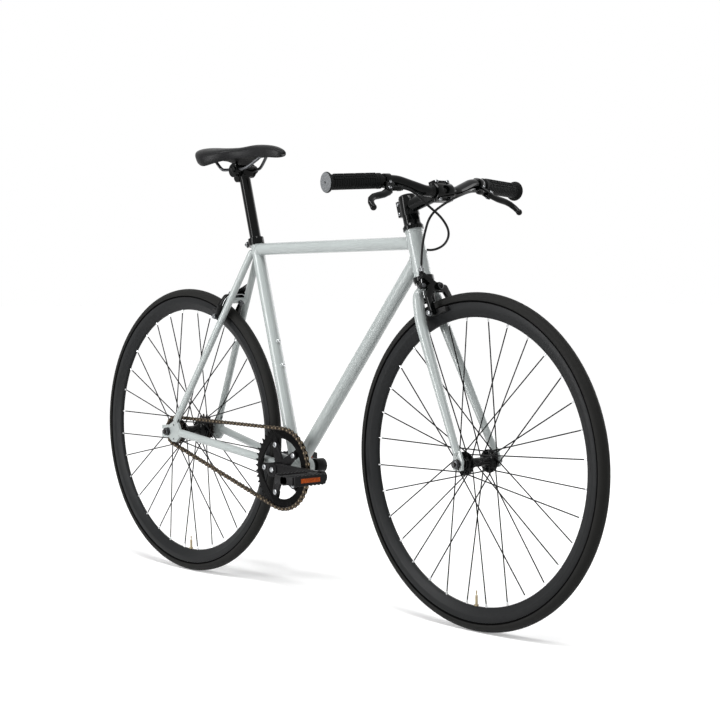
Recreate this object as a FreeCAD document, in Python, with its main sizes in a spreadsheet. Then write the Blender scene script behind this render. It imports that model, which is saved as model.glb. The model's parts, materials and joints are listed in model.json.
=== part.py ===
# Fixed gear bicycle with a lugless steel frame, track ends, riser bar and two side-pull brakes.
# Millimetres, +X forward, +Y to the rider's left, +Z up. The origin lies on the ground midway
# between the two wheels.
import FreeCAD
import Part
import Sketcher
import math
import os
import re

Vector = FreeCAD.Vector
Rotation = FreeCAD.Rotation
Placement = FreeCAD.Placement

# Driving dimensions: alias, number, meaning
SIZES = (
    ("rim_seat_radius", 311, "wheel centre to tyre bead seat, 622 mm rim"),
    ("tyre_height", 25, "bead seat to tread"),
    ("tyre_half_width", 13, "half the width of the tyre"),
    ("tyre_wall", 2, "casing thickness of the tyre"),
    ("rim_half_width", 11.5, "half the width across the brake tracks"),
    ("rim_flange", 5.5, "height of the rim's hook above the bead seat"),
    ("rim_depth", 30, "rim hook to spoke bed"),
    ("rim_wall", 1.6, "wall of the hollow rim"),
    ("tube_wall", 1, "wall of the inner tube"),
    ("valve_radius", 3, "valve stem radius"),
    ("valve_length", 42, "valve stem showing inside the rim"),
    ("spoke_radius", 1, "spoke radius"),
    ("spokes_per_flange", 16, "spokes on each hub flange"),
    ("spoke_crossings", 3, "crossings of each spoke"),
    ("nipple_radius", 2, "spoke nipple radius"),
    ("nipple_length", 12, "spoke nipple length"),
    ("flange_thickness", 3, "hub flange thickness"),
    ("flange_rim", 4.5, "spoke hole to flange edge"),
    ("front_flange_offset", 34, "wheel plane to the middle of a front flange"),
    ("front_hole_radius", 19, "circle of the front spoke holes"),
    ("front_shell_radius", 13, "front hub shell radius"),
    ("front_lock_width", 100, "over the front lock nuts"),
    ("front_axle_radius", 4.5, "front axle radius"),
    ("rear_flange_offset", 31, "wheel plane to the middle of a rear flange"),
    ("rear_hole_radius", 22.5, "circle of the rear spoke holes"),
    ("rear_shell_radius", 17, "rear hub shell radius"),
    ("rear_lock_width", 120, "over the rear lock nuts"),
    ("rear_axle_radius", 5, "rear axle radius"),
    ("cone_radius", 8, "bearing cone radius"),
    ("running_gap", 0.06, "radial clearance of a turning shaft"),
    ("seat_gap", 0.05, "clearance between parts that are fastened together"),
    ("nut_width", 15, "across the flats of an axle nut"),
    ("nut_height", 9, "axle nut height"),
    ("chain_pitch", 12.7, "distance between chain rollers"),
    ("ring_teeth", 44, "chainring teeth"),
    ("cog_teeth", 16, "cog teeth"),
    ("chain_links", 94, "links in the closed chain"),
    ("chain_line", 43.5, "bicycle's middle to the chain"),
    ("roller_radius", 3.85, "chain roller radius"),
    ("roller_gap", 0.2, "room between a roller and its tooth gap"),
    ("sprocket_thickness", 2.8, "thickness of chainring and cog"),
    ("plate_thickness", 1, "chain plate thickness"),
    ("plate_height", 8.4, "chain plate height"),
    ("inner_width", 3.6, "room between the inner chain plates"),
    ("ring_bolt_circle", 110, "chainring bolt circle"),
    ("ring_arms", 5, "arms of the crank spider"),
    ("ring_band", 22, "chainring width below its pitch circle"),
    ("crank_length", 170, "crank spindle to pedal spindle"),
    ("crank_boss_radius", 16, "radius of the crank's square boss"),
    ("crank_eye_radius", 13, "radius of the crank's pedal eye"),
    ("crank_thickness", 12, "crank arm thickness"),
    ("crank_offset", 64, "bicycle's middle to the crank boss's middle"),
    ("crank_flare", 12, "how much further out the pedal eye lies"),
    ("spindle_radius", 8.4, "bottom bracket spindle radius"),
    ("spindle_square", 12.6, "square of the spindle's ends"),
    ("pedal_spindle_radius", 6, "pedal spindle radius"),
    ("pedal_width", 92, "pedal body width"),
    ("pedal_length", 66, "pedal body length along the foot"),
    ("pedal_height", 24, "pedal body height"),
    ("bracket_height", 279, "ground to the bottom bracket"),
    ("bracket_width", 68, "bottom bracket shell width"),
    ("bracket_radius", 20, "bottom bracket shell radius"),
    ("bracket_bore", 17.2, "bottom bracket thread radius"),
    ("front_centre", 555.3, "bottom bracket to front axle, level"),
    ("head_angle", 73.5, "steering axis from level"),
    ("fork_rake", 44, "front axle ahead of the steering axis"),
    ("fork_height", 381, "front axle to the crown race, along the steering axis"),
    ("lower_stack", 13, "height of the lower headset"),
    ("head_length", 100, "head tube length"),
    ("upper_stack", 12, "height of the upper headset"),
    ("spacer_height", 18, "spacers below the stem"),
    ("stem_height", 39, "stem clamp height on the steerer"),
    ("head_radius", 18, "head tube radius"),
    ("head_bore", 16.9, "head tube bore radius"),
    ("steerer_radius", 14.3, "fork steerer radius"),
    ("steerer_wall", 2, "fork steerer wall"),
    ("seat_angle", 74, "seat tube from level"),
    ("seat_tube_length", 528, "bottom bracket to the top of the seat tube"),
    ("seat_tube_radius", 14.3, "seat tube radius"),
    ("post_radius", 12.7, "seatpost radius"),
    ("post_wall", 2.2, "seatpost wall"),
    ("post_length", 290, "seatpost length"),
    ("post_showing", 140, "seatpost above the seat tube"),
    ("top_tube_radius", 13.5, "top tube radius"),
    ("top_tube_drop", 24.3, "top of the seat tube down to the top tube's line"),
    ("top_tube_head", 72, "top tube's place up the head tube"),
    ("down_tube_radius", 15.5, "down tube radius"),
    ("down_tube_head", 42, "down tube's place up the head tube"),
    ("frame_wall", 1.6, "wall of the frame tubes"),
    ("chainstay_radius", 9, "chainstay radius"),
    ("seatstay_radius", 8, "seatstay radius"),
    ("stay_wall", 1.4, "wall of the stays"),
    ("seatstay_drop", 34, "top of the seat tube down to the seatstays"),
    ("bridge_radius", 6.5, "brake bridge radius"),
    ("end_thickness", 6, "rear track end thickness"),
    ("fork_end_thickness", 5, "fork end thickness"),
    ("eyelet_radius", 2.6, "rack eyelet radius"),
    ("eyelet_spacing", 33, "distance between the two rack eyelets"),
    ("blade_top_radius", 13.5, "fork blade radius at the crown"),
    ("blade_tip_radius", 7.5, "fork blade radius at the tip"),
    ("blade_wall", 1.8, "fork blade wall"),
    ("crown_drop", 18, "crown race to the brake bolt"),
    ("stem_reach", 97, "steering axis to the handlebar"),
    ("stem_wall", 4.5, "wall of the stem's clamps"),
    ("stem_neck_radius", 14.5, "stem neck radius"),
    ("clamp_width", 44, "width of the stem's bar clamp"),
    ("bar_radius", 11.1, "handlebar radius"),
    ("bar_clamp_radius", 12.7, "handlebar radius in the stem"),
    ("bar_wall", 2.2, "handlebar wall"),
    ("bar_half_width", 264, "bicycle's middle to the end of the handlebar"),
    ("bar_rise", 19.5, "rise of the handlebar"),
    ("bar_straight", 158.4, "straight end of the handlebar, across the bicycle"),
    ("bar_flat", 42, "bicycle's middle to the foot of the handlebar's rise"),
    ("bar_sweep", 45, "how far back the handlebar's ends lie"),
    ("grip_length", 126, "grip length with its flange"),
    ("grip_radius", 15.5, "grip radius"),
    ("grip_flange_radius", 20.5, "radius of the grip's end flange"),
    ("lever_clamp_width", 13, "width of the lever bracket's clamp"),
    ("lever_reach", 30, "handlebar to the lever's pivot"),
    ("lever_length", 82, "lever pivot to its tip, along the bar"),
    ("lever_thickness", 8, "lever blade thickness"),
    ("lever_pin_radius", 2.5, "lever pivot radius"),
    ("housing_radius", 2.5, "brake cable housing radius"),
    ("brake_bolt_radius", 3, "brake pivot bolt radius"),
    ("brake_arm_thickness", 7, "thickness of a brake arm"),
    ("brake_drop", 52, "brake bolt to the middle of the pads"),
    ("pad_gap", 2, "brake pad to rim"),
    ("pad_thickness", 8, "brake pad thickness"),
    ("pad_length", 44, "brake pad length"),
    ("pad_height", 10, "brake pad height"),
    ("saddle_length", 276, "saddle length"),
    ("saddle_half_width", 73, "half the saddle's width"),
    ("saddle_rise", 75.9, "top of the seatpost to the saddle's top"),
    ("saddle_nose", 142.8, "saddle nose ahead of the seatpost's top"),
    ("rail_radius", 3.5, "saddle rail radius"),
    ("rail_spread", 22, "middle of the saddle to a rail at the clamp"),
    ("rail_drop", 52, "saddle's top to the rails at the clamp"),
)

doc = FreeCAD.newDocument("fixed_gear_bicycle")
sheet = doc.addObject("Spreadsheet::Sheet", "sizes")
for row, (alias, amount, meaning) in enumerate(SIZES, 1):
    sheet.set(f"A{row}", meaning)
    sheet.set(f"B{row}", str(amount))
    sheet.setAlias(f"B{row}", alias)
doc.recompute()
nodes = []


def size(alias):
    """A driving dimension, read from the sheet."""
    return float(sheet.get(alias))


def bound(text):
    """The same formula with each dimension's name pointing into the sheet."""
    return re.sub(r"[a-z_]+", lambda word: "sizes." + word.group(0), text)


def number(text):
    """The present value of a formula of dimensions."""
    return float(sheet.evalExpression(bound(text)))


def node(label, thing):
    """Name a finished sub-part and keep it for export."""
    thing.Label = label
    nodes.append(thing)
    return thing


# Building blocks


def origin_plane(body, role):
    return next(plane for plane in body.Origin.OriginFeatures if plane.Role == role)


def arc_between(start, end, radius, side):
    """Arc that leaves the straight line to its left (side 1) or right (side -1)."""
    chord = end - start
    left = Vector(-chord.y, chord.x, 0).normalize()
    height = math.sqrt(max(radius * radius - chord.Length**2 / 4, 0))
    centre = (start + end) * 0.5 - left * (side * height)
    first, last = (end, start) if side > 0 else (start, end)
    turn = [math.atan2(point.y - centre.y, point.x - centre.x) for point in (first, last)]
    return Part.ArcOfCircle(Part.Circle(centre, Vector(0, 0, 1), radius), turn[0], turn[1])


def sketch(body, role, loops):
    """Closed outlines whose corners, and the radii of whose arcs, are formulas of the dimensions."""
    drawing = body.newObject("Sketcher::SketchObject", body.Name + "_outline")
    drawing.AttachmentSupport = [(origin_plane(body, role), "")]
    drawing.MapMode = "FlatFace"
    for corners in loops:
        base = drawing.GeometryCount
        points = [Vector(number(corner[0]), number(corner[1]), 0) for corner in corners]
        starts = []
        for index, corner in enumerate(corners):
            here = points[index]
            there = points[(index + 1) % len(points)]
            if len(corner) == 2:
                drawing.addGeometry(Part.LineSegment(here, there), False)
                starts.append(1)
            else:
                drawing.addGeometry(arc_between(here, there, number(corner[2]), corner[3]), False)
                starts.append(2 if corner[3] > 0 else 1)
        for index in range(len(points)):
            following = (index + 1) % len(points)
            meet = Sketcher.Constraint("Coincident", base + index, 3 - starts[index],
                                       base + following, starts[following])
            drawing.addConstraint(meet)
        for index, corner in enumerate(corners):
            edge = base + index
            spot = points[index]
            for kind, text, place in (("DistanceX", corner[0], spot.x), ("DistanceY", corner[1], spot.y)):
                held = drawing.addConstraint(Sketcher.Constraint(kind, -1, 1, edge, starts[index], place))
                drawing.setExpression(f"Constraints[{held}]", bound(text))
            if len(corner) > 2:
                held = drawing.addConstraint(Sketcher.Constraint("Radius", edge, number(corner[2])))
                drawing.setExpression(f"Constraints[{held}]", bound(corner[2]))
    return drawing


def revolved(name, role, loops, place=Placement()):
    """Body turned about the sketch's upright axis."""
    body = doc.addObject("PartDesign::Body", name)
    drawing = sketch(body, role, loops)
    turn = body.newObject("PartDesign::Revolution", name + "_turn")
    turn.Profile = drawing
    turn.ReferenceAxis = (drawing, ["V_Axis"])
    turn.Angle = 360
    body.Placement = place
    return body


def extruded(name, role, loops, thickness, place=Placement()):
    """Body padded to both sides of the sketch."""
    body = doc.addObject("PartDesign::Body", name)
    drawing = sketch(body, role, loops)
    pad = body.newObject("PartDesign::Pad", name + "_pad")
    pad.Profile = drawing
    pad.SideType = "Symmetric"
    pad.setExpression("Length", bound(thickness))
    body.Placement = place
    return body


def rod(name, start, end, radius):
    """Cylinder between two points."""
    cylinder = doc.addObject("Part::Cylinder", name)
    cylinder.setExpression("Radius", bound(radius))
    cylinder.Height = (end - start).Length
    cylinder.Placement = Placement(start, Rotation(Vector(0, 0, 1), end - start))
    return cylinder


def block(name, low, high, place=Placement()):
    """Box between two corners, in the frame of a placement."""
    box = doc.addObject("Part::Box", name)
    box.Length, box.Width, box.Height = high - low
    box.Placement = place.multiply(Placement(low, Rotation()))
    return box


def fused(name, pieces):
    union = doc.addObject("Part::MultiFuse", name)
    union.Shapes = pieces
    return union


def cut(name, base, tools):
    result = doc.addObject("Part::Cut", name)
    result.Base = base
    result.Tool = tools[0] if len(tools) == 1 else fused(name + "_tools", tools)
    return result


def group(name, pieces):
    """Several separate solids that share a node."""
    together = doc.addObject("Part::Compound", name)
    together.Links = pieces
    return together


def mirrored(name, source):
    """The same piece on the other side of the bicycle."""
    copy = doc.addObject("Part::Mirroring", name)
    copy.Source = source
    copy.Base = Vector(0, 0, 0)
    copy.Normal = Vector(0, 1, 0)
    return copy


def shaped(name, shape, place=Placement()):
    """Feature whose shape is worked out here from the dimensions."""
    feature = doc.addObject("Part::Feature", name)
    feature.Shape = shape
    feature.Placement = place
    return feature


def along(direction):
    """Turn that lays the local Z axis along a direction."""
    return Rotation(Vector(0, 0, 1), direction)


def rounded_path(points, radii=None):
    """Straight runs joined by tangent arcs, with the arcs' radii.

    An arc is as large as its two runs allow, or as its given radius if that is smaller.
    """
    edges = []
    used = []
    start = points[0]
    for index in range(1, len(points) - 1):
        here = points[index]
        before = points[index - 1] - here
        after = points[index + 1] - here
        turn = math.pi - before.getAngle(after)
        reach = 0.45 * min(before.Length, after.Length)
        radius = reach / math.tan(turn / 2)
        if radii:
            radius = min(radius, radii[index - 1])
            reach = radius * math.tan(turn / 2)
        used.append(radius)
        before.normalize()
        after.normalize()
        enter = here + before * reach
        leave = here + after * reach
        inward = (before + after).normalize()
        middle = here + inward * (radius / math.cos(turn / 2) - radius)
        edges.append(Part.LineSegment(start, enter).toShape())
        edges.append(Part.Arc(enter, middle, leave).toShape())
        start = leave
    edges.append(Part.LineSegment(start, points[-1]).toShape())
    return Part.Wire(edges), used


def swept(path, radius):
    """Round bar along a path."""
    start = path.OrderedVertexes[0].Point
    towards = path.OrderedEdges[0].tangentAt(path.OrderedEdges[0].FirstParameter)
    ring = Part.Wire([Part.makeCircle(radius, start, towards)])
    bar = path.makePipeShell([ring], True, False)
    expected = math.pi * radius * radius * path.Length
    if abs(bar.Volume - expected) > 0.02 * expected:
        raise ValueError(f"swept bar has volume {bar.Volume:.0f}, not {expected:.0f}")
    return bar


def limb(points, radii, thickness):
    """Flat plate with a round end at each point, in the local XY plane, joined by straight flanks."""
    up = Vector(0, 0, thickness)
    pieces = []
    for point, radius in zip(points, radii):
        pieces.append(Part.makeCylinder(radius, thickness, point))
    for index in range(len(points) - 1):
        start, end = points[index], points[index + 1]
        first, last = radii[index], radii[index + 1]
        run = end - start
        lean = math.asin((first - last) / run.Length)
        heading = math.atan2(run.y, run.x)
        sides = []
        for sign in (1, -1):
            angle = heading + sign * (math.pi / 2 - lean)
            out = Vector(math.cos(angle), math.sin(angle), 0)
            sides.append((start + out * first, end + out * last))
        outline = Part.makePolygon([sides[0][0], sides[0][1], sides[1][1], sides[1][0], sides[0][0]])
        pieces.append(Part.Face(outline).extrude(up))
    return pieces[0].fuse(pieces[1:]).removeSplitter()


# Frame geometry: axles, steering axis and seat tube line

ACROSS = Vector(0, 1, 0)
axle_height = size("rim_seat_radius") + size("tyre_height")
ring_radius = size("chain_pitch") / (2 * math.sin(math.pi / size("ring_teeth")))
cog_radius = size("chain_pitch") / (2 * math.sin(math.pi / size("cog_teeth")))


def chain_counts(distance):
    """Chain pitches on the ring, on one straight run and on the cog, for a distance between centres."""
    lean = math.asin((ring_radius - cog_radius) / distance)
    on_ring = size("ring_teeth") * (math.pi + 2 * lean) / (2 * math.pi)
    on_cog = size("cog_teeth") * (math.pi - 2 * lean) / (2 * math.pi)
    straight = distance * math.cos(lean) / size("chain_pitch")
    return on_ring, straight, on_cog, lean


def stay_length():
    """Distance between crank and rear axle at which the chain closes with no slack."""
    low = ring_radius + cog_radius
    high = size("chain_links") * size("chain_pitch") / 2
    for step in range(60):
        middle = (low + high) / 2
        on_ring, straight, on_cog, lean = chain_counts(middle)
        if on_ring + on_cog + 2 * straight < size("chain_links"):
            low = middle
        else:
            high = middle
    return low


centre_distance = stay_length()
bracket_drop = axle_height - size("bracket_height")
rear_centre = math.sqrt(centre_distance**2 - bracket_drop**2)
wheelbase = rear_centre + size("front_centre")
rear_axle = Vector(-wheelbase / 2, 0, axle_height)
front_axle = Vector(wheelbase / 2, 0, axle_height)
bracket = rear_axle + Vector(rear_centre, 0, -bracket_drop)

head_turn = Rotation(ACROSS, size("head_angle") - 90)
steer_up = head_turn.multVec(Vector(0, 0, 1))
steer_ahead = head_turn.multVec(Vector(1, 0, 0))
steer_foot = front_axle - steer_ahead * size("fork_rake")
steer_place = Placement(steer_foot, head_turn)
head_low = number("fork_height + lower_stack")
head_high = head_low + size("head_length")

seat_turn = Rotation(ACROSS, size("seat_angle") - 90)
seat_up = seat_turn.multVec(Vector(0, 0, 1))
seat_place = Placement(bracket, seat_turn)


def on_steerer(height):
    return steer_foot + steer_up * height


def on_seat_tube(height):
    return bracket + seat_up * height


# Main frame tubes

FAR = 40  # how far a coping tool reaches past its joint
shell_half = size("bracket_width") / 2
shell_ends = (bracket - ACROSS * shell_half, bracket + ACROSS * shell_half)
seat_top = on_seat_tube(size("seat_tube_length"))


def coped_tube(name, start, end, radius, wall, copes):
    """Thin tube whose ends are cut to the tubes that it is welded to."""
    outer = rod(name + "_outer", start, end, radius)
    inner = rod(name + "_inner", start, end, f"{radius} - {wall}")
    return cut(name, outer, [inner] + copes)


def shell_cope(name):
    reach = ACROSS * FAR
    return rod(name, shell_ends[0] - reach, shell_ends[1] + reach, "bracket_radius + seat_gap")


def seat_cope(name):
    return rod(name, bracket, seat_top, "seat_tube_radius + seat_gap")


def head_cope(name):
    return rod(name, on_steerer(head_low), on_steerer(head_high), "head_radius + seat_gap")


low_text = "(fork_height + lower_stack)"
high_text = "(fork_height + lower_stack + head_length)"
head_tube = revolved("head_tube_body", "XZ_Plane", [[
    ("head_bore", low_text),
    ("head_radius + frame_wall / 2", low_text),
    ("head_radius + frame_wall / 2", low_text + " + 5"),
    ("head_radius", low_text + " + 7"),
    ("head_radius", high_text + " - 7"),
    ("head_radius + frame_wall / 2", high_text + " - 5"),
    ("head_radius + frame_wall / 2", high_text),
    ("head_bore", high_text),
]], steer_place)
node("head_tube", head_tube)

top_tube_start = on_seat_tube(number("seat_tube_length - top_tube_drop"))
top_tube_end = on_steerer(head_low + size("top_tube_head"))
node("top_tube", coped_tube("top_tube_cut", top_tube_start, top_tube_end, "top_tube_radius", "frame_wall",
                            [seat_cope("top_tube_seat_cope"), head_cope("top_tube_head_cope")]))

down_tube_end = on_steerer(head_low + size("down_tube_head"))
node("down_tube", coped_tube("down_tube_cut", bracket, down_tube_end, "down_tube_radius", "frame_wall",
                             [shell_cope("down_tube_shell_cope"), seat_cope("down_tube_seat_cope"),
                              head_cope("down_tube_head_cope")]))

SLIT_WIDTH = 3
SLIT_DEPTH = 32
slit = block("seat_tube_slit",
             Vector(-2 * size("seat_tube_radius"), -SLIT_WIDTH / 2, size("seat_tube_length") - SLIT_DEPTH),
             Vector(0, SLIT_WIDTH / 2, size("seat_tube_length") + 1), seat_place)
seat_tube_outer = rod("seat_tube_outer", bracket, seat_top, "seat_tube_radius")
seat_tube_bore = rod("seat_tube_bore", bracket, seat_top, "post_radius + running_gap")
seat_tube_tools = [seat_tube_bore, shell_cope("seat_tube_shell_cope"), slit]
node("seat_tube", cut("seat_tube_cut", seat_tube_outer, seat_tube_tools))

shell_outer = rod("bracket_shell_outer", shell_ends[0], shell_ends[1], "bracket_radius")
shell_bore = rod("bracket_shell_bore", shell_ends[0], shell_ends[1], "bracket_bore")
node("bottom_bracket_shell", cut("bracket_shell_cut", shell_outer, [shell_bore]))


# Rear triangle

end_plane = size("rear_lock_width") / 2 + size("end_thickness") / 2
EYELET_AHEAD = 23
END_AHEAD = 46
end_half = "eyelet_spacing / 2 + eyelet_radius + 4"
track_end = extruded("track_end", "XZ_Plane", [[
    ("0 - rear_axle_radius - 19", "0 - rear_axle_radius - 9"),
    ("0 - rear_axle_radius - 19", "0 - rear_axle_radius - seat_gap"),
    ("rear_axle_radius", "0 - rear_axle_radius - seat_gap", "rear_axle_radius + 1.5", -1),
    ("rear_axle_radius", "rear_axle_radius + seat_gap"),
    ("0 - rear_axle_radius - 19", "rear_axle_radius + seat_gap"),
    ("0 - rear_axle_radius - 19", "rear_axle_radius + 9"),
    ("4", "rear_axle_radius + 11"),
    ("18", end_half),
    ("30", end_half + " + 8"),
    ("42", "eyelet_spacing / 2"),
    (f"{END_AHEAD}", "8"),
    (f"{END_AHEAD}", "0 - 10"),
    ("34", "0 - (" + end_half + ")"),
    ("16", "0 - (" + end_half + ")"),
    ("4", "0 - rear_axle_radius - 9"),
]], "end_thickness", Placement(rear_axle - ACROSS * end_plane, Rotation()))


def eyelet(name, up):
    middle = rear_axle + Vector(EYELET_AHEAD, -end_plane, up)
    half = ACROSS * size("end_thickness")
    return rod(name, middle - half, middle + half, "eyelet_radius")


eyelet_up = size("eyelet_spacing") / 2
eyelets = [eyelet("eyelet_upper", eyelet_up), eyelet("eyelet_lower", -eyelet_up)]
track_end_right = cut("track_end_right", track_end, eyelets)
track_end_left = mirrored("track_end_left", track_end_right)
node("rear_dropouts", group("rear_dropouts_pair", [track_end_right, track_end_left]))

CHAINSTAY_START = Vector(-12, -21, 4)
CHAINSTAY_BEND = 108
CHAINSTAY_RADIUS_OF_BEND = 260
chainstay_tip = rear_axle + Vector(END_AHEAD, -end_plane, -1)
chainstay_way = chainstay_tip - bracket
bend_share = CHAINSTAY_BEND / chainstay_way.Length
chainstay_bend = bracket + Vector(chainstay_way.x * bend_share, -27.5, chainstay_way.z * bend_share)
chainstay_start = bracket + CHAINSTAY_START
bend = [CHAINSTAY_RADIUS_OF_BEND]
chainstay_path = rounded_path([chainstay_start, chainstay_bend, chainstay_tip], bend)[0]
chainstay_bore_end = chainstay_tip + (chainstay_bend - chainstay_tip).normalize() * 8
chainstay_bore_path = rounded_path([chainstay_start, chainstay_bend, chainstay_bore_end], bend)[0]
chainstay_outer = shaped("chainstay_outer", swept(chainstay_path, size("chainstay_radius")))
chainstay_bore = shaped("chainstay_bore", swept(chainstay_bore_path, number("chainstay_radius - stay_wall")))


def end_room(name, ahead, high):
    """Slot that lets the right track end into the tip of a stay."""
    side = size("end_thickness") / 2 + size("seat_gap")
    return block(name, Vector(-60, -end_plane - side, -40), Vector(ahead, -end_plane + side, high),
                 Placement(rear_axle, Rotation()))


chainstay_tools = [chainstay_bore, shell_cope("chainstay_shell_cope"),
                   end_room("chainstay_notch", END_AHEAD + size("seat_gap"), FAR)]
chainstay_right = cut("chainstay_right", chainstay_outer, chainstay_tools)
node("chainstays", group("chainstay_pair", [chainstay_right, mirrored("chainstay_left", chainstay_right)]))

seatstay_join = on_seat_tube(number("seat_tube_length - seatstay_drop"))
seatstay_top = seatstay_join + Vector(-size("seat_tube_radius"), -9.5, 0)
seatstay_tip = rear_axle + Vector(31, -end_plane, number("eyelet_spacing / 2 + eyelet_radius + 9"))
seatstay_run = (seatstay_tip - seatstay_top).normalize()
seatstay_end = seatstay_tip + seatstay_run * 2
seatstay_tube = rod("seatstay_tube", seatstay_top, seatstay_end, "seatstay_radius")
seatstay_cap = shaped("seatstay_cap", Part.makeSphere(size("seatstay_radius"), seatstay_top))
seatstay_bore = rod("seatstay_bore", seatstay_top, seatstay_end - seatstay_run * 14,
                    "seatstay_radius - stay_wall")
end_notch = end_room("seatstay_notch", 60, number(end_half) + 8)
seatstay_right = cut("seatstay_right", fused("seatstay_capped", [seatstay_tube, seatstay_cap]),
                     [seatstay_bore, seat_cope("seatstay_seat_cope"), end_notch])
node("seatstays", group("seatstay_pair", [seatstay_right, mirrored("seatstay_left", seatstay_right)]))

# The rear brake hangs on a bridge that lies as far from the axle as the fork crown's brake bolt.
brake_bolt_height = size("fork_height") - size("crown_drop")
stay_line = Vector(seatstay_top.x - seatstay_tip.x, 0, seatstay_top.z - seatstay_tip.z).normalize()
stay_behind = Vector(-stay_line.z, 0, stay_line.x)
tip_flat = Vector(seatstay_tip.x, 0, seatstay_tip.z)
bridge_point = tip_flat + stay_line * (brake_bolt_height - (tip_flat - rear_axle).dot(stay_line))
top_flat = Vector(seatstay_top.x, 0, seatstay_top.z)
bridge_share = (bridge_point - tip_flat).dot(stay_line) / (top_flat - tip_flat).Length
bridge_half = end_plane + (-seatstay_top.y - end_plane) * bridge_share
stay_copes = [rod(f"bridge_stay_cope_{side}", Vector(seatstay_top.x, side * seatstay_top.y, seatstay_top.z),
                  Vector(seatstay_end.x, side * seatstay_end.y, seatstay_end.z), "seatstay_radius + seat_gap")
              for side in (1, -1)]
bridge_bolt_hole = rod("bridge_bolt_hole", bridge_point - stay_behind * 20, bridge_point + stay_behind * 20,
                       "brake_bolt_radius + seat_gap")
brake_bridge = cut("brake_bridge", rod("bridge_rod", bridge_point - ACROSS * bridge_half,
                                       bridge_point + ACROSS * bridge_half, "bridge_radius"),
                   stay_copes + [bridge_bolt_hole])
STAY_BRIDGE_BACK = 42
stay_bridge_point = bracket + chainstay_way * (STAY_BRIDGE_BACK / chainstay_way.Length)
stay_bridge_point.y = 0
chainstay_room = swept(chainstay_path, number("chainstay_radius + seat_gap"))
bridge_cope_right = shaped("stay_bridge_cope_right", chainstay_room)
stay_bridge = cut("chainstay_bridge", rod("stay_bridge_rod", stay_bridge_point - ACROSS * 26,
                                          stay_bridge_point + ACROSS * 26, "bridge_radius"),
                  [bridge_cope_right, mirrored("stay_bridge_cope_left", bridge_cope_right)])
node("stay_bridges", group("stay_bridge_pair", [brake_bridge, stay_bridge]))


# Headset, fork, spacers

cup_text = "head_radius + 3.5"
lower_cup = revolved("lower_cup", "XZ_Plane", [[
    ("steerer_radius + 1.3", low_text + " + 14"),
    ("head_bore - seat_gap", low_text + " + 14"),
    ("head_bore - seat_gap", low_text + " - seat_gap"),
    (cup_text, low_text + " - seat_gap"),
    (cup_text, "fork_height + 4"),
    ("steerer_radius + 1.3", "fork_height + 4"),
]], steer_place)
upper_cup = revolved("upper_cup", "XZ_Plane", [[
    ("steerer_radius + 1.3", high_text + " - 14"),
    ("head_bore - seat_gap", high_text + " - 14"),
    ("head_bore - seat_gap", high_text + " + seat_gap"),
    (cup_text, high_text + " + seat_gap"),
    (cup_text, high_text + " + upper_stack - 5"),
    ("steerer_radius + 1.3", high_text + " + upper_stack - 5"),
]], steer_place)


def bearing_ring(name, low, high):
    return revolved(name, "XZ_Plane", [[
        ("steerer_radius + running_gap", low),
        ("steerer_radius + 1.3 - seat_gap", low),
        ("steerer_radius + 1.3 - seat_gap", high),
        ("steerer_radius + running_gap", high),
    ]], steer_place)


lower_ring = bearing_ring("lower_bearing", "fork_height + 5", low_text + " + 4")
upper_ring = bearing_ring("upper_bearing", high_text + " - 4", high_text + " + upper_stack - 6")
node("headset_cups", group("headset_cup_set", [lower_cup, upper_cup, lower_ring, upper_ring]))

steerer_top_text = "fork_height + lower_stack + head_length + upper_stack + spacer_height + stem_height - 3"
steerer_tube = revolved("steerer", "XZ_Plane", [[
    ("steerer_radius - steerer_wall", "fork_height - crown_drop - 22"),
    ("steerer_radius + 1.7", "fork_height - crown_drop - 22"),
    ("steerer_radius + 1.7", "fork_height"),
    ("steerer_radius", "fork_height"),
    ("steerer_radius", steerer_top_text),
    ("steerer_radius - steerer_wall", steerer_top_text),
]], steer_place)
front_bolt = on_steerer(brake_bolt_height)
crown_bolt_hole = rod("crown_bolt_hole", front_bolt - steer_ahead * FAR, front_bolt + steer_ahead * FAR,
                      "brake_bolt_radius + seat_gap")
node("fork_steerer", cut("fork_steerer_cut", steerer_tube, [crown_bolt_hole]))

crown_race = revolved("crown_race", "XZ_Plane", [[
    ("steerer_radius + seat_gap", "fork_height + seat_gap"),
    ("head_radius + 2.5", "fork_height + seat_gap"),
    ("head_radius + 1.5", "fork_height + 3.6"),
    ("steerer_radius + seat_gap", "fork_height + 3.6"),
]], steer_place)
top_race = revolved("top_race", "XZ_Plane", [[
    ("steerer_radius + seat_gap", high_text + " + upper_stack - 4.6"),
    ("head_radius + 2.5", high_text + " + upper_stack - 4.6"),
    ("head_radius", high_text + " + upper_stack"),
    ("steerer_radius + seat_gap", high_text + " + upper_stack"),
]], steer_place)
stack_text = high_text + " + upper_stack"
spacers = revolved("stem_spacers", "XZ_Plane", [[
    ("steerer_radius + seat_gap", stack_text + " + seat_gap"),
    ("head_radius - 0.5", stack_text + " + seat_gap"),
    ("head_radius - 0.5", stack_text + " + spacer_height / 2 - 0.4"),
    ("head_radius - 1.2", stack_text + " + spacer_height / 2"),
    ("head_radius - 0.5", stack_text + " + spacer_height / 2 + 0.4"),
    ("head_radius - 0.5", stack_text + " + spacer_height - seat_gap"),
    ("steerer_radius + seat_gap", stack_text + " + spacer_height - seat_gap"),
]], steer_place)
cap_text = stack_text + " + spacer_height + stem_height"
top_cap = revolved("top_cap", "XZ_Plane", [[
    ("0", cap_text + " + seat_gap"),
    ("head_radius - 0.5", cap_text + " + seat_gap"),
    ("head_radius - 0.5", cap_text + " + 3"),
    ("head_radius - 3", cap_text + " + 5"),
    ("4", cap_text + " + 5"),
    ("4", cap_text + " + 6.5"),
    ("0", cap_text + " + 6.5"),
]], steer_place)
node("headset_stack", group("headset_stack_set", [crown_race, top_race, spacers, top_cap]))

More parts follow.
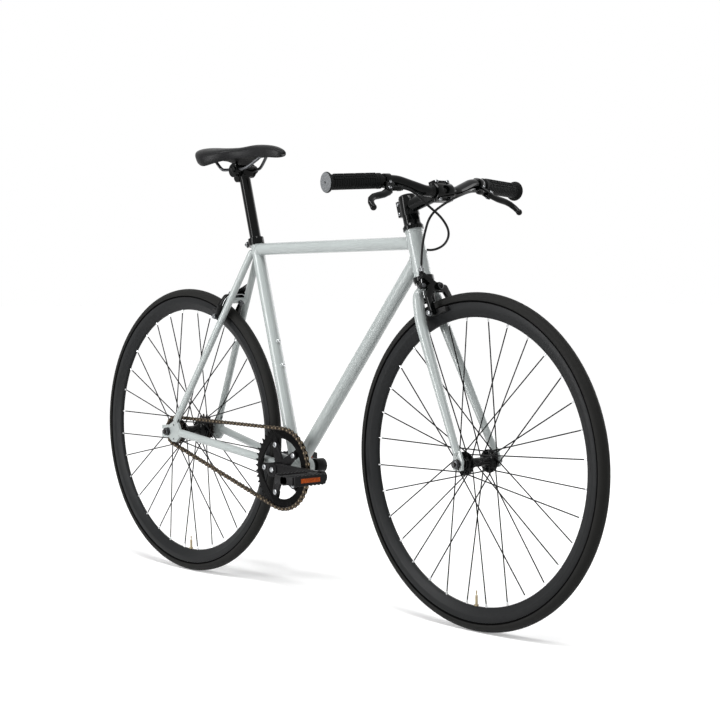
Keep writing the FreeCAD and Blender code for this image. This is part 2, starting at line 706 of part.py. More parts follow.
# One fork blade: a bent shoulder that leaves the crown, then a straight tapered leg.
fork_end_plane = size("front_lock_width") / 2 + size("fork_end_thickness") / 2
blade_tip = front_axle + Vector(-4, -fork_end_plane, 20)
BLADE_KNEE_OUT = 34
BLADE_KNEE_DOWN = 34
knee_point = on_steerer(brake_bolt_height - BLADE_KNEE_DOWN) + Vector(2, -BLADE_KNEE_OUT, 0)
leg_way = (blade_tip - knee_point).normalize()
leg_start = knee_point + leg_way * 30
crown_corner = knee_point - leg_way * (BLADE_KNEE_DOWN - 3)
crown_side = front_bolt - ACROSS * 4
shoulder_path = rounded_path([crown_side, crown_corner, leg_start], [26])[0]
top_radius = size("blade_top_radius")
tip_radius = size("blade_tip_radius")
leg_length = (blade_tip - leg_start).Length
leg = Part.makeCone(top_radius, tip_radius, leg_length, leg_start, leg_way)
fork_blade = shaped("fork_blade", swept(shoulder_path, top_radius).fuse(leg))
tip_cap = Part.makeCone(tip_radius, 0.5 * tip_radius, 0.6 * tip_radius, blade_tip, leg_way)
fork_tip_cap = shaped("fork_tip_cap", tip_cap)
fork_end = extruded("fork_end", "XZ_Plane", [[
    ("0 - front_axle_radius - 8", "0 - front_axle_radius - 7"),
    ("0 - front_axle_radius - seat_gap", "0 - front_axle_radius - 9"),
    ("0 - front_axle_radius - seat_gap", "2", "front_axle_radius + 0.35", 1),
    ("front_axle_radius + seat_gap", "2"),
    ("front_axle_radius + seat_gap", "0 - front_axle_radius - 9"),
    ("front_axle_radius + 8", "0 - front_axle_radius - 7"),
    ("front_axle_radius + 9", "6"),
    ("blade_tip_radius - 2", "26"),
    ("0 - blade_tip_radius - 4", "26"),
    ("0 - front_axle_radius - 9", "6"),
]], "fork_end_thickness", Placement(front_axle - ACROSS * fork_end_plane, Rotation()))
blade_wall = size("blade_wall")
blade_hollow = Part.makeCone(top_radius - blade_wall, tip_radius - blade_wall, leg_length - 12,
                             leg_start, leg_way)
blade_bore = shaped("fork_blade_bore", blade_hollow)
steerer_cope = rod("blade_steerer_cope", on_steerer(brake_bolt_height - 60),
                   on_steerer(size("fork_height") + 30), "steerer_radius + 1.7 + seat_gap")
blade_right = cut("fork_blade_right", fused("fork_blade_whole", [fork_blade, fork_tip_cap, fork_end]),
                  [blade_bore, steerer_cope])
node("fork_blades", group("fork_blade_pair", [blade_right, mirrored("fork_blade_left", blade_right)]))


# Stem and handlebar, in the frame of the steering axis

stem_low = head_high + number("upper_stack + spacer_height")
stem_mid = stem_low + size("stem_height") / 2
stem_reach = size("stem_reach")


def in_steering(ahead, across, up):
    return steer_place.multVec(Vector(ahead, across, up))


def steer_block(name, low, high):
    return block(name, low, high, steer_place)


clamp_half = size("clamp_width") / 2
bar_centre = in_steering(stem_reach, 0, stem_mid)
clamp_outer_radius = number("bar_clamp_radius + stem_wall")
ear_out = clamp_outer_radius + 4
PARTING = 0.6


def bar_clamp(name):
    """Round clamp about the handlebar with ears for its four bolts."""
    barrel = rod(name + "_barrel", bar_centre - ACROSS * clamp_half, bar_centre + ACROSS * clamp_half,
                 "bar_clamp_radius + stem_wall")
    ears = steer_block(name + "_ears", Vector(stem_reach - 8, -clamp_half, stem_mid - ear_out),
                       Vector(stem_reach + 7, clamp_half, stem_mid + ear_out))
    return [barrel, ears]


def bar_bore(name):
    return rod(name, bar_centre - ACROSS * 2 * clamp_half, bar_centre + ACROSS * 2 * clamp_half,
               "bar_clamp_radius + seat_gap")


def steerer_bore(name):
    return rod(name, on_steerer(stem_low - FAR), on_steerer(stem_low + size("stem_height") + FAR),
               "steerer_radius + seat_gap")


stem_seat = rod("stem_seat", on_steerer(stem_low), on_steerer(stem_low + size("stem_height")),
                "steerer_radius + stem_wall")
stem_neck = rod("stem_neck", on_steerer(stem_mid), in_steering(stem_reach - 8, 0, stem_mid),
                "stem_neck_radius")
pinch_out = number("steerer_radius + stem_wall") + 6
stem_pinch = steer_block("stem_pinch", Vector(-pinch_out, -11, stem_low + 3),
                         Vector(-size("steerer_radius"), 11, stem_low + size("stem_height") - 3))
stem_slit = steer_block("stem_slit", Vector(-2 * pinch_out, -1.5, stem_low - 1),
                        Vector(0, 1.5, stem_low + size("stem_height") + 1))
front_half = steer_block("stem_front_half", Vector(stem_reach - PARTING, -60, stem_mid - 60),
                         Vector(stem_reach + 60, 60, stem_mid + 60))
stem_whole = fused("stem_whole", [stem_seat, stem_neck, stem_pinch] + bar_clamp("stem_clamp"))
stem_tools = [steerer_bore("stem_steerer_bore"), bar_bore("stem_bar_bore"), stem_slit, front_half]
node("stem", cut("stem_cut", stem_whole, stem_tools))
rear_half = steer_block("faceplate_rear_half", Vector(stem_reach - 60, -60, stem_mid - 60),
                        Vector(stem_reach + PARTING, 60, stem_mid + 60))
faceplate_window = rod("faceplate_window", bar_centre, in_steering(stem_reach + 60, 0, stem_mid),
                       "bar_radius - bar_wall")
node("stem_faceplate", cut("faceplate_cut", fused("faceplate_whole", bar_clamp("faceplate_clamp")),
                           [bar_bore("faceplate_bar_bore"), rear_half, faceplate_window]))

bar_sweep = size("bar_sweep")
bar_shoulder = Vector(-0.42 * bar_sweep, number("bar_half_width - bar_straight"), size("bar_rise"))
bar_end = Vector(-bar_sweep, size("bar_half_width"), size("bar_rise") - 8.5)
bar_foot = Vector(0, size("bar_flat"), 0)


def to_right(point):
    return Vector(point.x, -point.y, point.z)


left_points = [bar_foot, bar_shoulder, bar_end]
bar_points = [to_right(point) for point in reversed(left_points)] + left_points
bar_path = rounded_path([bar_centre + point for point in bar_points], [70, 40, 40, 70])[0]
SLEEVE_HALF = 26
TAPER = 7
bar_sleeve = revolved("bar_sleeve", "XY_Plane", [[
    ("bar_radius - bar_wall / 2", f"0 - {SLEEVE_HALF + TAPER}"),
    ("bar_radius + 0.1", f"0 - {SLEEVE_HALF + TAPER}"),
    ("bar_clamp_radius", f"0 - {SLEEVE_HALF}"),
    ("bar_clamp_radius", f"{SLEEVE_HALF}"),
    ("bar_radius + 0.1", f"{SLEEVE_HALF + TAPER}"),
    ("bar_radius - bar_wall / 2", f"{SLEEVE_HALF + TAPER}"),
]], Placement(bar_centre, Rotation()))
bar_outer = shaped("bar_outer", swept(bar_path, size("bar_radius")))
bar_hollow = shaped("bar_hollow", swept(bar_path, number("bar_radius - bar_wall")))
node("handlebar", cut("handlebar_cut", fused("handlebar_whole", [bar_outer, bar_sleeve]), [bar_hollow]))

# The right end of the bar: everything there is built once and mirrored to the left.
right_end = bar_centre + to_right(bar_end)
outward = (to_right(bar_end) - to_right(bar_shoulder)).normalize()
GRIP_CAP = 3
grip_start = right_end - outward * (size("grip_length") - GRIP_CAP - size("seat_gap"))
grip_right = revolved("grip_right", "XZ_Plane", [[
    ("bar_radius + seat_gap", "0"),
    ("grip_radius - 1.5", "0"),
    ("grip_radius", "1.5"),
    ("grip_radius", "8"),
    ("grip_radius - 1.3", "10"),
    ("grip_radius - 1.3", "grip_length * 0.5", "grip_length * 2.2", -1),
    ("grip_radius - 0.8", "grip_length - 14", "14", 1),
    ("grip_radius + 0.2", "grip_length - 7"),
    ("grip_flange_radius - 1.2", "grip_length - 6.5"),
    ("grip_flange_radius", "grip_length - 5"),
    ("grip_flange_radius", "grip_length - 2.6", "3.2", -1),
    ("grip_flange_radius - 2.2", "grip_length - 0.6"),
    ("0", "grip_length"),
    ("0", f"grip_length - {GRIP_CAP}"),
    ("bar_radius + seat_gap", f"grip_length - {GRIP_CAP}"),
]], Placement(grip_start, along(outward)))
node("grips", group("grip_pair", [grip_right, mirrored("grip_left", grip_right)]))

# Lever bracket: local X outward along the bar, local Y towards the lever's pivot
LEVER_DIP = 41
lever_aim = Vector(math.cos(math.radians(LEVER_DIP)), 0, -math.sin(math.radians(LEVER_DIP)))
lever_down = (lever_aim - outward * lever_aim.dot(outward)).normalize()
lever_normal = outward.cross(lever_down)
lever_turn = Rotation(outward, lever_down, lever_normal, "XYZ")
GRIP_TO_CLAMP = 8
bracket_seat = grip_start - outward * (GRIP_TO_CLAMP + size("lever_clamp_width") / 2)
lever_place = Placement(bracket_seat, lever_turn)
half_blade = size("lever_thickness") / 2
PIVOT_OUT = 10
pivot_local = Vector(PIVOT_OUT, size("lever_reach"), 0)
lever_pivot = lever_place.multVec(pivot_local)
CHEEK_GAP = 0.3
CHEEK = 2.6
clamp_half_width = size("lever_clamp_width") / 2
cheek_top = half_blade + CHEEK_GAP + CHEEK
ring_reach = outward * clamp_half_width
bracket_ring = rod("lever_clamp_ring", bracket_seat - ring_reach, bracket_seat + ring_reach,
                   "bar_radius + 3.4")
bracket_body = block("lever_bracket_body", Vector(-8, size("bar_radius") - 1, -cheek_top),
                     Vector(8, size("lever_reach") - 10, cheek_top), lever_place)
cheek_shape = limb([Vector(0, size("bar_radius") + 4, 0), pivot_local], [8, 7], CHEEK)
upper_lift = Placement(Vector(0, 0, cheek_top - CHEEK), Rotation())
lower_lift = Placement(Vector(0, 0, -cheek_top), Rotation())
cheek_upper = shaped("lever_cheek_upper", cheek_shape, lever_place.multiply(upper_lift))
cheek_lower = shaped("lever_cheek_lower", cheek_shape, lever_place.multiply(lower_lift))
BARREL_OUT = 24
BARREL_END = 25
barrel_start = lever_place.multVec(Vector(-3, BARREL_OUT, 0))
barrel_end = lever_place.multVec(Vector(-BARREL_END, BARREL_OUT, 0))
lever_barrel = rod("lever_barrel", barrel_start, barrel_end, "housing_radius + 2.5")
barrel_bore = rod("lever_barrel_bore", lever_place.multVec(Vector(-BARREL_END + 6, BARREL_OUT, 0)),
                  lever_place.multVec(Vector(-BARREL_END - 1, BARREL_OUT, 0)), "housing_radius + seat_gap")
lever_pin = rod("lever_pin", lever_place.multVec(pivot_local - Vector(0, 0, cheek_top + 1.5)),
                lever_place.multVec(pivot_local + Vector(0, 0, cheek_top + 1.5)), "lever_pin_radius")
bracket_bore = rod("lever_bracket_bore", bracket_seat - outward * 30, bracket_seat + outward * 30,
                   "bar_radius + seat_gap")
bracket_pieces = [bracket_ring, bracket_body, cheek_upper, cheek_lower, lever_barrel, lever_pin]
bracket_whole = fused("lever_bracket_whole", bracket_pieces)
bracket_right = cut("lever_bracket_right", bracket_whole, [bracket_bore, barrel_bore])
bracket_left = mirrored("lever_bracket_left", bracket_right)
node("brake_brackets", group("brake_bracket_pair", [bracket_right, bracket_left]))

reach = size("lever_length") / 82
lever_points = [Vector(0, 0, 0), Vector(20, 4, 0), Vector(40, 15, 0), Vector(60, 32, 0), Vector(74, 42, 0)]
lever_blade = limb([point * reach for point in lever_points], [7.5, 6.5, 5.5, 5, 6], size("lever_thickness"))
lever_hole = Part.makeCylinder(number("lever_pin_radius + running_gap"), 4 * half_blade,
                               Vector(0, 0, -half_blade))
lever_frame = Placement(lever_pivot, lever_turn).multiply(Placement(Vector(0, 0, -half_blade), Rotation()))
lever_right = shaped("lever_right", lever_blade.cut(lever_hole), lever_frame)
node("brake_lever_right", lever_right)
node("brake_lever_left", mirrored("lever_left", lever_right))


# Side-pull brakes. Local X across, local Y up along the fork or the stays, local Z away from the frame.

def upright_frame(point, up, ahead):
    return Placement(point, Rotation(up.cross(ahead), up, ahead, "XYZ"))


front_brake = upright_frame(front_bolt, steer_up, steer_ahead)
rear_brake = upright_frame(bridge_point, stay_line, stay_behind)
FRONT_ARM_START = 25
REAR_ARM_START = 13
ARM_GAP = 0.3
arm_thickness = size("brake_arm_thickness")
drop = size("brake_drop")
pad_face = number("rim_half_width + pad_gap")
BARREL_ACROSS = 36
ANCHOR_UP = 4
BARREL_UP = 27
BARREL_HALF = 9
barrel_aim = Rotation(Vector(1, 0, 0), 16).multVec(Vector(0, 1, 0))


def pad_shapes(place, axle, start, side):
    """A brake shoe lying along the rim, with the stud that holds it to its arm."""
    local_axle = place.inverse().multVec(axle)
    track = number("rim_seat_radius + rim_flange") - 6.3
    middle = start + arm_thickness + 10
    ahead = middle - local_axle.z
    level = local_axle.y + math.sqrt(track * track - ahead * ahead)
    tilt = Rotation(Vector(1, 0, 0), math.degrees(math.atan2(ahead, level - local_axle.y)))
    thick = size("pad_thickness")
    tall, long = size("pad_height"), size("pad_length")
    low = Vector(pad_face if side > 0 else -pad_face - thick, -tall / 2, -long / 2)
    pad = Part.makeBox(thick, tall, long, low)
    pad = pad.makeChamfer(1.5, [edge for edge in pad.Edges if abs(edge.Length - thick) < 1e-6])
    pad.Placement = Placement(Vector(0, level, middle), tilt)
    stud_start = start + arm_thickness + ARM_GAP / 2
    stud = Part.makeCylinder(4, 9.5, Vector(side * (pad_face + thick + size("seat_gap")), level, stud_start),
                             Vector(side, 0, 0))
    return pad, stud, level


def barrel_spot(start, shift):
    """Place on the axis of a brake's cable barrel, from its middle."""
    return Vector(-BARREL_ACROSS, BARREL_UP, start + arm_thickness + ARM_GAP / 2) + barrel_aim * shift


def caliper(name, place, axle, start):
    """The two arms of one brake: the outer one carries the cable's barrel, the inner one its anchor."""
    arms = []
    for side, layer in ((-1, 1), (1, 0)):
        base = start + layer * (arm_thickness + ARM_GAP)
        pad, stud, level = pad_shapes(place, axle, start, side)
        foot = Vector(side * 29, level, 0)
        hip = Vector(side * 33, level * 0.42, 0)
        spine = [Vector(0, 0, 0), Vector(side * 24, -2, 0), hip, foot]
        plate = limb(spine, [9, 7.5, 6.5, 6.5], arm_thickness)
        if side < 0:
            branch = limb([Vector(-6, 0, 0), Vector(-22, 13, 0), Vector(-BARREL_ACROSS, BARREL_UP - 3, 0)],
                          [8, 6, 5.5], arm_thickness)
        else:
            branch = limb([Vector(0, 0, 0), Vector(-24, ANCHOR_UP, 0), Vector(-BARREL_ACROSS, ANCHOR_UP, 0)],
                          [8, 6, 6], arm_thickness)
        plate = plate.fuse(branch)
        plate.translate(Vector(0, 0, base))
        body = plate.fuse(stud)
        if side < 0:
            barrel = Part.makeCylinder(5, 2 * BARREL_HALF, barrel_spot(start, -BARREL_HALF), barrel_aim)
            wire_hole = Part.makeCylinder(1.3, 60, barrel_spot(start, -30), barrel_aim)
            housing_hole = Part.makeCylinder(number("housing_radius + seat_gap"), 6,
                                             barrel_spot(start, BARREL_HALF - 5), barrel_aim)
            body = body.fuse(barrel).cut(wire_hole).cut(housing_hole)
        body = body.cut(Part.makeCylinder(number("brake_bolt_radius + running_gap"), 200, Vector(0, 0, -50)))
        pad = pad.cut(body)
        arm_name = name + ("_barrel_arm" if side < 0 else "_anchor_arm")
        arms.append(shaped(arm_name, Part.Compound([body.removeSplitter(), pad]), place))
    return arms


def brake_bolt(name, place, seat, start):
    """Pivot bolt with its nut behind the frame, a spacer in front of it and a nut outside the arms."""
    outer_face = start + 2 * (arm_thickness + ARM_GAP)
    return revolved(name, "XZ_Plane", [[
        ("0", f"0 - {seat + 8}"),
        ("brake_bolt_radius + 2.5", f"0 - {seat + 8}"),
        ("brake_bolt_radius + 2.5", f"0 - {seat}"),
        ("brake_bolt_radius", f"0 - {seat}"),
        ("brake_bolt_radius", f"{seat}"),
        ("brake_bolt_radius + 5", f"{seat}"),
        ("brake_bolt_radius + 5", f"{start - ARM_GAP}"),
        ("brake_bolt_radius", f"{start - ARM_GAP}"),
        ("brake_bolt_radius", f"{outer_face}"),
        ("brake_bolt_radius + 4", f"{outer_face}"),
        ("brake_bolt_radius + 4", f"{outer_face + 5}"),
        ("brake_bolt_radius", f"{outer_face + 6.5}"),
        ("0", f"{outer_face + 9}"),
    ]], place)


front_arms = caliper("front_brake", front_brake, front_axle, FRONT_ARM_START)
node("front_brake_arm_right", front_arms[0])
node("front_brake_arm_left", front_arms[1])
rear_arms = caliper("rear_brake", rear_brake, rear_axle, REAR_ARM_START)
node("rear_brake_arm_left", rear_arms[0])
node("rear_brake_arm_right", rear_arms[1])
steerer_face = number("steerer_radius") + 1.75
front_bolt_body = brake_bolt("front_bolt_body", front_brake, steerer_face, FRONT_ARM_START)
node("front_brake_bolt", front_bolt_body)
bridge_face = size("bridge_radius") + size("seat_gap")
node("rear_brake_bolt", brake_bolt("rear_bolt_body", rear_brake, bridge_face, REAR_ARM_START))


# Wheels, turned about their own axle (local Y)

rim_tip = "(rim_seat_radius + rim_flange)"
nose = "(rim_seat_radius + rim_flange - rim_depth)"
rim_loops = [
    [
        (rim_tip, "0 - rim_half_width"),
        (rim_tip, "0 - rim_half_width + rim_wall"),
        ("rim_seat_radius", "0 - rim_half_width + rim_wall"),
        ("rim_seat_radius - 2", "0 - rim_half_width + rim_wall + 4"),
        ("rim_seat_radius - 2", "rim_half_width - rim_wall - 4"),
        ("rim_seat_radius", "rim_half_width - rim_wall"),
        (rim_tip, "rim_half_width - rim_wall"),
        (rim_tip, "rim_half_width"),
        (rim_tip + " - 12.5", "rim_half_width"),
        (nose + " + 2.5", "5"),
        (nose, "2.5"),
        (nose, "0 - 2.5"),
        (nose + " + 2.5", "0 - 5"),
        (rim_tip + " - 12.5", "0 - rim_half_width"),
    ],
    [
        ("rim_seat_radius - 2 - rim_wall", "0 - rim_half_width + rim_wall + 1"),
        ("rim_seat_radius - 2 - rim_wall", "rim_half_width - rim_wall - 1"),
        (rim_tip + " - 12.5", "rim_half_width - rim_wall"),
        (nose + " + rim_wall + 1.5", "3"),
        (nose + " + rim_wall + 1.5", "0 - 3"),
        (rim_tip + " - 12.5", "0 - rim_half_width + rim_wall"),
    ],
]
tread = "(rim_seat_radius + tyre_height)"
belly = "(rim_seat_radius + tyre_height / 2)"
bead = "(rim_half_width - rim_wall - 0.3)"
tyre_loop = [
    ("rim_seat_radius + 0.3", f"0 - {bead}"),
    (rim_tip + " + 0.4", f"0 - {bead}", "tyre_half_width + 2", -1),
    (belly, "0 - tyre_half_width", "tyre_half_width + 0.5", -1),
    (tread, "0", "tyre_half_width + 0.5", -1),
    (belly, "tyre_half_width", "tyre_half_width + 2", -1),
    (rim_tip + " + 0.4", bead),
    ("rim_seat_radius + 0.3", bead),
    ("rim_seat_radius + 0.3", bead + " - tyre_wall"),
    (rim_tip + " + 1", bead + " - tyre_wall"),
    (belly, "tyre_half_width - tyre_wall", "tyre_half_width - tyre_wall + 0.5", 1),
    (tread + " - tyre_wall", "0", "tyre_half_width - tyre_wall + 0.5", 1),
    (belly, "0 - tyre_half_width + tyre_wall"),
    (rim_tip + " + 1", f"0 - {bead} + tyre_wall"),
    ("rim_seat_radius + 0.3", f"0 - {bead} + tyre_wall"),
]
tube_inside = "tyre_half_width - tyre_wall - 1.5"
inner_tube_loop = [
    ("rim_seat_radius + 1", "0 - 5"),
    (rim_tip + " + 2", "0 - rim_half_width + rim_wall + tyre_wall + 1"),
    (belly, f"0 - ({tube_inside})"),
    (belly + " + 6", f"0 - ({tube_inside}) + 2.5"),
    (tread + " - tyre_wall - 1.5", "0 - 2"),
    (tread + " - tyre_wall - 1.5", "2"),
    (belly + " + 6", f"{tube_inside} - 2.5"),
    (belly, tube_inside),
    (rim_tip + " + 2", "rim_half_width - rim_wall - tyre_wall - 1"),
    ("rim_seat_radius + 1", "5"),
]
tube_hollow = [
    ("rim_seat_radius + 1 + tube_wall", "0 - 5"),
    (rim_tip + " + 2", "0 - rim_half_width + rim_wall + tyre_wall + 1 + tube_wall"),
    (belly, f"0 - ({tube_inside}) + tube_wall"),
    (belly + " + 5", f"0 - ({tube_inside}) + 2 + tube_wall"),
    (tread + " - tyre_wall - 1.5 - tube_wall", "0 - 2"),
    (tread + " - tyre_wall - 1.5 - tube_wall", "2"),
    (belly + " + 5", f"{tube_inside} - 2 - tube_wall"),
    (belly, f"{tube_inside} - tube_wall"),
    (rim_tip + " + 2", "rim_half_width - rim_wall - tyre_wall - 1 - tube_wall"),
    ("rim_seat_radius + 1 + tube_wall", "5"),
]
DOWN = Vector(0, 0, -1)
nose_radius = number(nose)
spoke_count = int(2 * size("spokes_per_flange"))
spoke_step = 2 * math.pi / spoke_count


def wheel_round(name, place):
    """Rim, tyre and inner tube, with the valve pointing to the ground at rest."""
    seat = size("rim_seat_radius")
    rim_hoop = revolved(name + "_rim_hoop", "XY_Plane", rim_loops, place)
    drill = rod(name + "_valve_hole", place.Base + DOWN * (nose_radius - 5), place.Base + DOWN * (seat + 3),
                "valve_radius + 0.2")
    node(name + "_rim", cut(name + "_rim_cut", rim_hoop, [drill]))
    node(name + "_tyre", revolved(name + "_tyre_body", "XY_Plane", [tyre_loop], place))
    hoop = revolved(name + "_inner_tube_hoop", "XY_Plane", [inner_tube_loop, tube_hollow], place)
    stem = rod(name + "_valve_stem", place.Base + DOWN * (nose_radius - size("valve_length") + 10),
               place.Base + DOWN * (seat + 3), "valve_radius")
    node(name + "_inner_tube", fused(name + "_inner_tube_fused", [hoop, stem]))


def prism(start, end, radius, sides):
    """Straight bar with few sides, for small repeated pieces."""
    turn = along(end - start)
    ring = []
    for corner in range(sides):
        angle = 2 * math.pi * corner / sides
        ring.append(start + turn.multVec(Vector(radius * math.cos(angle), radius * math.sin(angle), 0)))
    return Part.Face(Part.makePolygon(ring + [ring[0]])).extrude(end - start)


def polar(radius, angle, across):
    return Vector(radius * math.cos(angle), across, radius * math.sin(angle))


def spokes(name, place, flange_offset, hole_radius):
    """Crossed spokes with elbows through the flange holes and a nipple each."""
    thin = size("spoke_radius")
    flange = size(flange_offset)
    circle = size(hole_radius)
    swing = size("spoke_crossings") * 2 * spoke_step
    half = size("flange_thickness") / 2
    end = nose_radius - 0.3
    over_edge = math.sqrt((circle + size("flange_rim"))**2 - circle**2) * flange / nose_radius
    pieces = []
    for index in range(spoke_count):
        side = 1 if index % 2 else -1
        lean = 1 if index // 2 % 2 else -1
        angle = (index + 0.5) * spoke_step
        lie = side * (flange + lean * (half + thin + 0.1) + max(lean, 0) * over_edge)
        back = side * (flange - lean * (half + 0.3))
        elbow = polar(circle, angle, lie)
        rim_point = polar(end, angle + lean * swing, side)
        way = (rim_point - elbow).normalize()
        nipple_start = rim_point - way * size("nipple_length")
        wire = prism(elbow - way * thin, nipple_start + way, thin, 4)
        hook_top = Vector(elbow.x, lie + side * lean * 0.4, elbow.z)
        hook = prism(hook_top, Vector(elbow.x, back, elbow.z), thin, 4)
        nipple = prism(nipple_start, rim_point, size("nipple_radius"), 4)
        pieces.append(wire.fuse([hook, nipple]))
    node(name, shaped(name + "_set", Part.Compound(pieces), place))


def flange_holes(name, place, flange_offset, hole_radius):
    """Drills for the spoke elbows, both flanges."""
    flange = size(flange_offset)
    half = size("flange_thickness")
    drills = []
    for index in range(spoke_count):
        side = 1 if index % 2 else -1
        spot = polar(size(hole_radius), (index + 0.5) * spoke_step, side * flange)
        drills.append(prism(spot - ACROSS * half, spot + ACROSS * half, number("spoke_radius") + 0.5, 6))
    return shaped(name, Part.Compound(drills), place)


def hub_loop(offset, hole_radius, shell_radius, end):
    """Half section of a hub shell: two flanges on a waisted barrel."""
    edge = f"{hole_radius} + flange_rim"
    bore = "cone_radius + running_gap"
    inner = f"({offset} - flange_thickness / 2)"
    outer = f"({offset} + flange_thickness / 2)"
    one_side = [
        (shell_radius, f"{inner} - 6"),
        (f"{shell_radius} + 2", inner),
        (edge, inner),
        (edge, outer),
        (f"{shell_radius} + 1", outer),
        (f"{shell_radius} - 1", end),
        (bore, end),
    ]
    other_side = [(out, f"0 - ({across})") for out, across in reversed(one_side)]
    return one_side + other_side


def axle(name, place, radius, lock_width, end_thickness, hub_end):
    """Axle with its bearing cones, lock nuts and the two outer nuts."""
    lock = f"({lock_width} / 2)"
    face = f"({lock} + {end_thickness} + seat_gap)"
    one_side = [
        (radius, f"{hub_end} - 14"),
        ("cone_radius", f"{hub_end} - 12"),
        ("cone_radius", f"{hub_end} + 0.4"),
        ("cone_radius + 1.5", f"{hub_end} + 0.4"),
        ("cone_radius + 1.5", f"{lock} - seat_gap"),
        (radius, f"{lock} - seat_gap"),
        (radius, face),
        ("nut_width / 2 + 1.5", face),
        ("nut_width / 2 + 1.5", f"{face} + 2"),
        ("nut_width / 2", f"{face} + 2"),
        ("nut_width / 2", f"{face} + nut_height"),
        (radius, f"{face} + nut_height"),
        (radius, f"{face} + nut_height + 4"),
        ("0", f"{face} + nut_height + 4"),
    ]
    other_side = [(out, f"0 - ({across})") for out, across in reversed(one_side)]
    return node(name, revolved(name + "_body", "XY_Plane", [one_side + other_side], place))


front_place = Placement(front_axle, Rotation())
rear_place = Placement(rear_axle, Rotation())
wheel_round("front", front_place)
wheel_round("rear", rear_place)
spokes("front_spokes", front_place, "front_flange_offset", "front_hole_radius")
spokes("rear_spokes", rear_place, "rear_flange_offset", "rear_hole_radius")

front_hub_end = "(front_lock_width / 2 - 8)"
front_section = hub_loop("front_flange_offset", "front_hole_radius", "front_shell_radius", front_hub_end)
front_shell = revolved("front_hub_shell", "XY_Plane", [front_section], front_place)
front_drills = flange_holes("front_flange_drills", front_place, "front_flange_offset", "front_hole_radius")
node("front_hub", cut("front_hub_cut", front_shell, [front_drills]))
axle("front_axle", front_place, "front_axle_radius", "front_lock_width", "fork_end_thickness", front_hub_end)

rear_hub_end = "(chain_line + 6)"
rear_section = hub_loop("rear_flange_offset", "rear_hole_radius", "rear_shell_radius", rear_hub_end)
rear_shell = revolved("rear_hub_shell", "XY_Plane", [rear_section], rear_place)
rear_drills = flange_holes("rear_flange_drills", rear_place, "rear_flange_offset", "rear_hole_radius")
COG_STEP = 6


def seat_trim(name, side):
    """Trims one end of the hub down to the straight seat of a cog."""
    low, high = f"chain_line - {COG_STEP}", f"{rear_hub_end} + 1"
    if side < 0:
        low, high = f"0 - ({high})", f"0 - ({low})"
    return revolved(name, "XY_Plane", [[
        ("rear_shell_radius - 2", low),
        ("rear_hole_radius + 20", low),
        ("rear_hole_radius + 20", high),
        ("rear_shell_radius - 2", high),
    ]], rear_place)


rear_tools = [rear_drills, seat_trim("cog_seat_trim", -1), seat_trim("freewheel_seat_trim", 1)]
node("rear_hub", cut("rear_hub_cut", rear_shell, rear_tools))
axle("rear_axle", rear_place, "rear_axle_radius", "rear_lock_width", "end_thickness", rear_hub_end)


# Chain: rollers on a closed loop about chainring and cog

to_ring = (bracket - rear_axle) * (1 / centre_distance)
above = Vector(-to_ring.z, 0, to_ring.x)
on_ring, straight, on_cog, lean = chain_counts(centre_distance)
upper_side = above * math.cos(lean) - to_ring * math.sin(lean)
lower_side = above * -math.cos(lean) - to_ring * math.sin(lean)
forward_run = to_ring * math.cos(lean) + above * math.sin(lean)
backward_run = to_ring * -math.cos(lean) + above * math.sin(lean)


def turned(direction, angle):
    """A direction in the chain's plane, turned the way the pedals go."""
    return Rotation(ACROSS, math.degrees(angle)).multVec(direction)


def roller_at(place):
    """Centre of a chain roller, counted in pitches forward from the top of the cog."""
    pitch = size("chain_pitch")
    if place < straight:
        return rear_axle + upper_side * cog_radius + forward_run * (place * pitch)
    place -= straight
    if place < on_ring:
        return bracket + turned(upper_side, 2 * math.pi * place / size("ring_teeth")) * ring_radius
    place -= on_ring
    if place < straight:
        return bracket + lower_side * ring_radius + backward_run * (place * pitch)
    place -= straight
    return rear_axle + turned(lower_side, 2 * math.pi * place / size("cog_teeth")) * cog_radius


rollers = [roller_at(index) for index in range(int(size("chain_links")))]
first_on_ring = math.ceil(straight)
first_on_cog = math.ceil(2 * straight + on_ring)


def chain_plate(start, end, low, high):
    """Chain plate with six corners between two rollers."""
    half = size("plate_height") / 2
    way = (end - start).normalize()
    rise = Vector(-way.z, 0, way.x)
    ring = [start - way * half, start + rise * half, end + rise * half,
            end + way * half, end - rise * half, start - rise * half]
    ring = [Vector(point.x, low, point.z) for point in ring]
    return Part.Face(Part.makePolygon(ring + [ring[0]])).extrude(ACROSS * (high - low))


def chain_link(start, end, inner_link):
    """The two plates of an outer link, or an inner link with its two rollers."""
    line = -size("chain_line")
    inner = size("inner_width") / 2
    thick = size("plate_thickness")
    near = inner if inner_link else inner + thick + 0.15
    plates = [chain_plate(start, end, line + near, line + near + thick),
              chain_plate(start, end, line - near - thick, line - near)]
    if not inner_link:
        return plates
    low, high = ACROSS * (line - inner), ACROSS * (line + inner)
    barrels = [prism(spot + low, spot + high, size("roller_radius"), 6) for spot in (start, end)]
    return [plates[0].fuse(plates[1:] + barrels).removeSplitter()]


links = []
for index, start in enumerate(rollers):
    links.extend(chain_link(start, rollers[(index + 1) % len(rollers)], index % 2 == 1))
node("chain", shaped("chain_set", Part.Compound(links)))


# Chainring, cog and freewheel

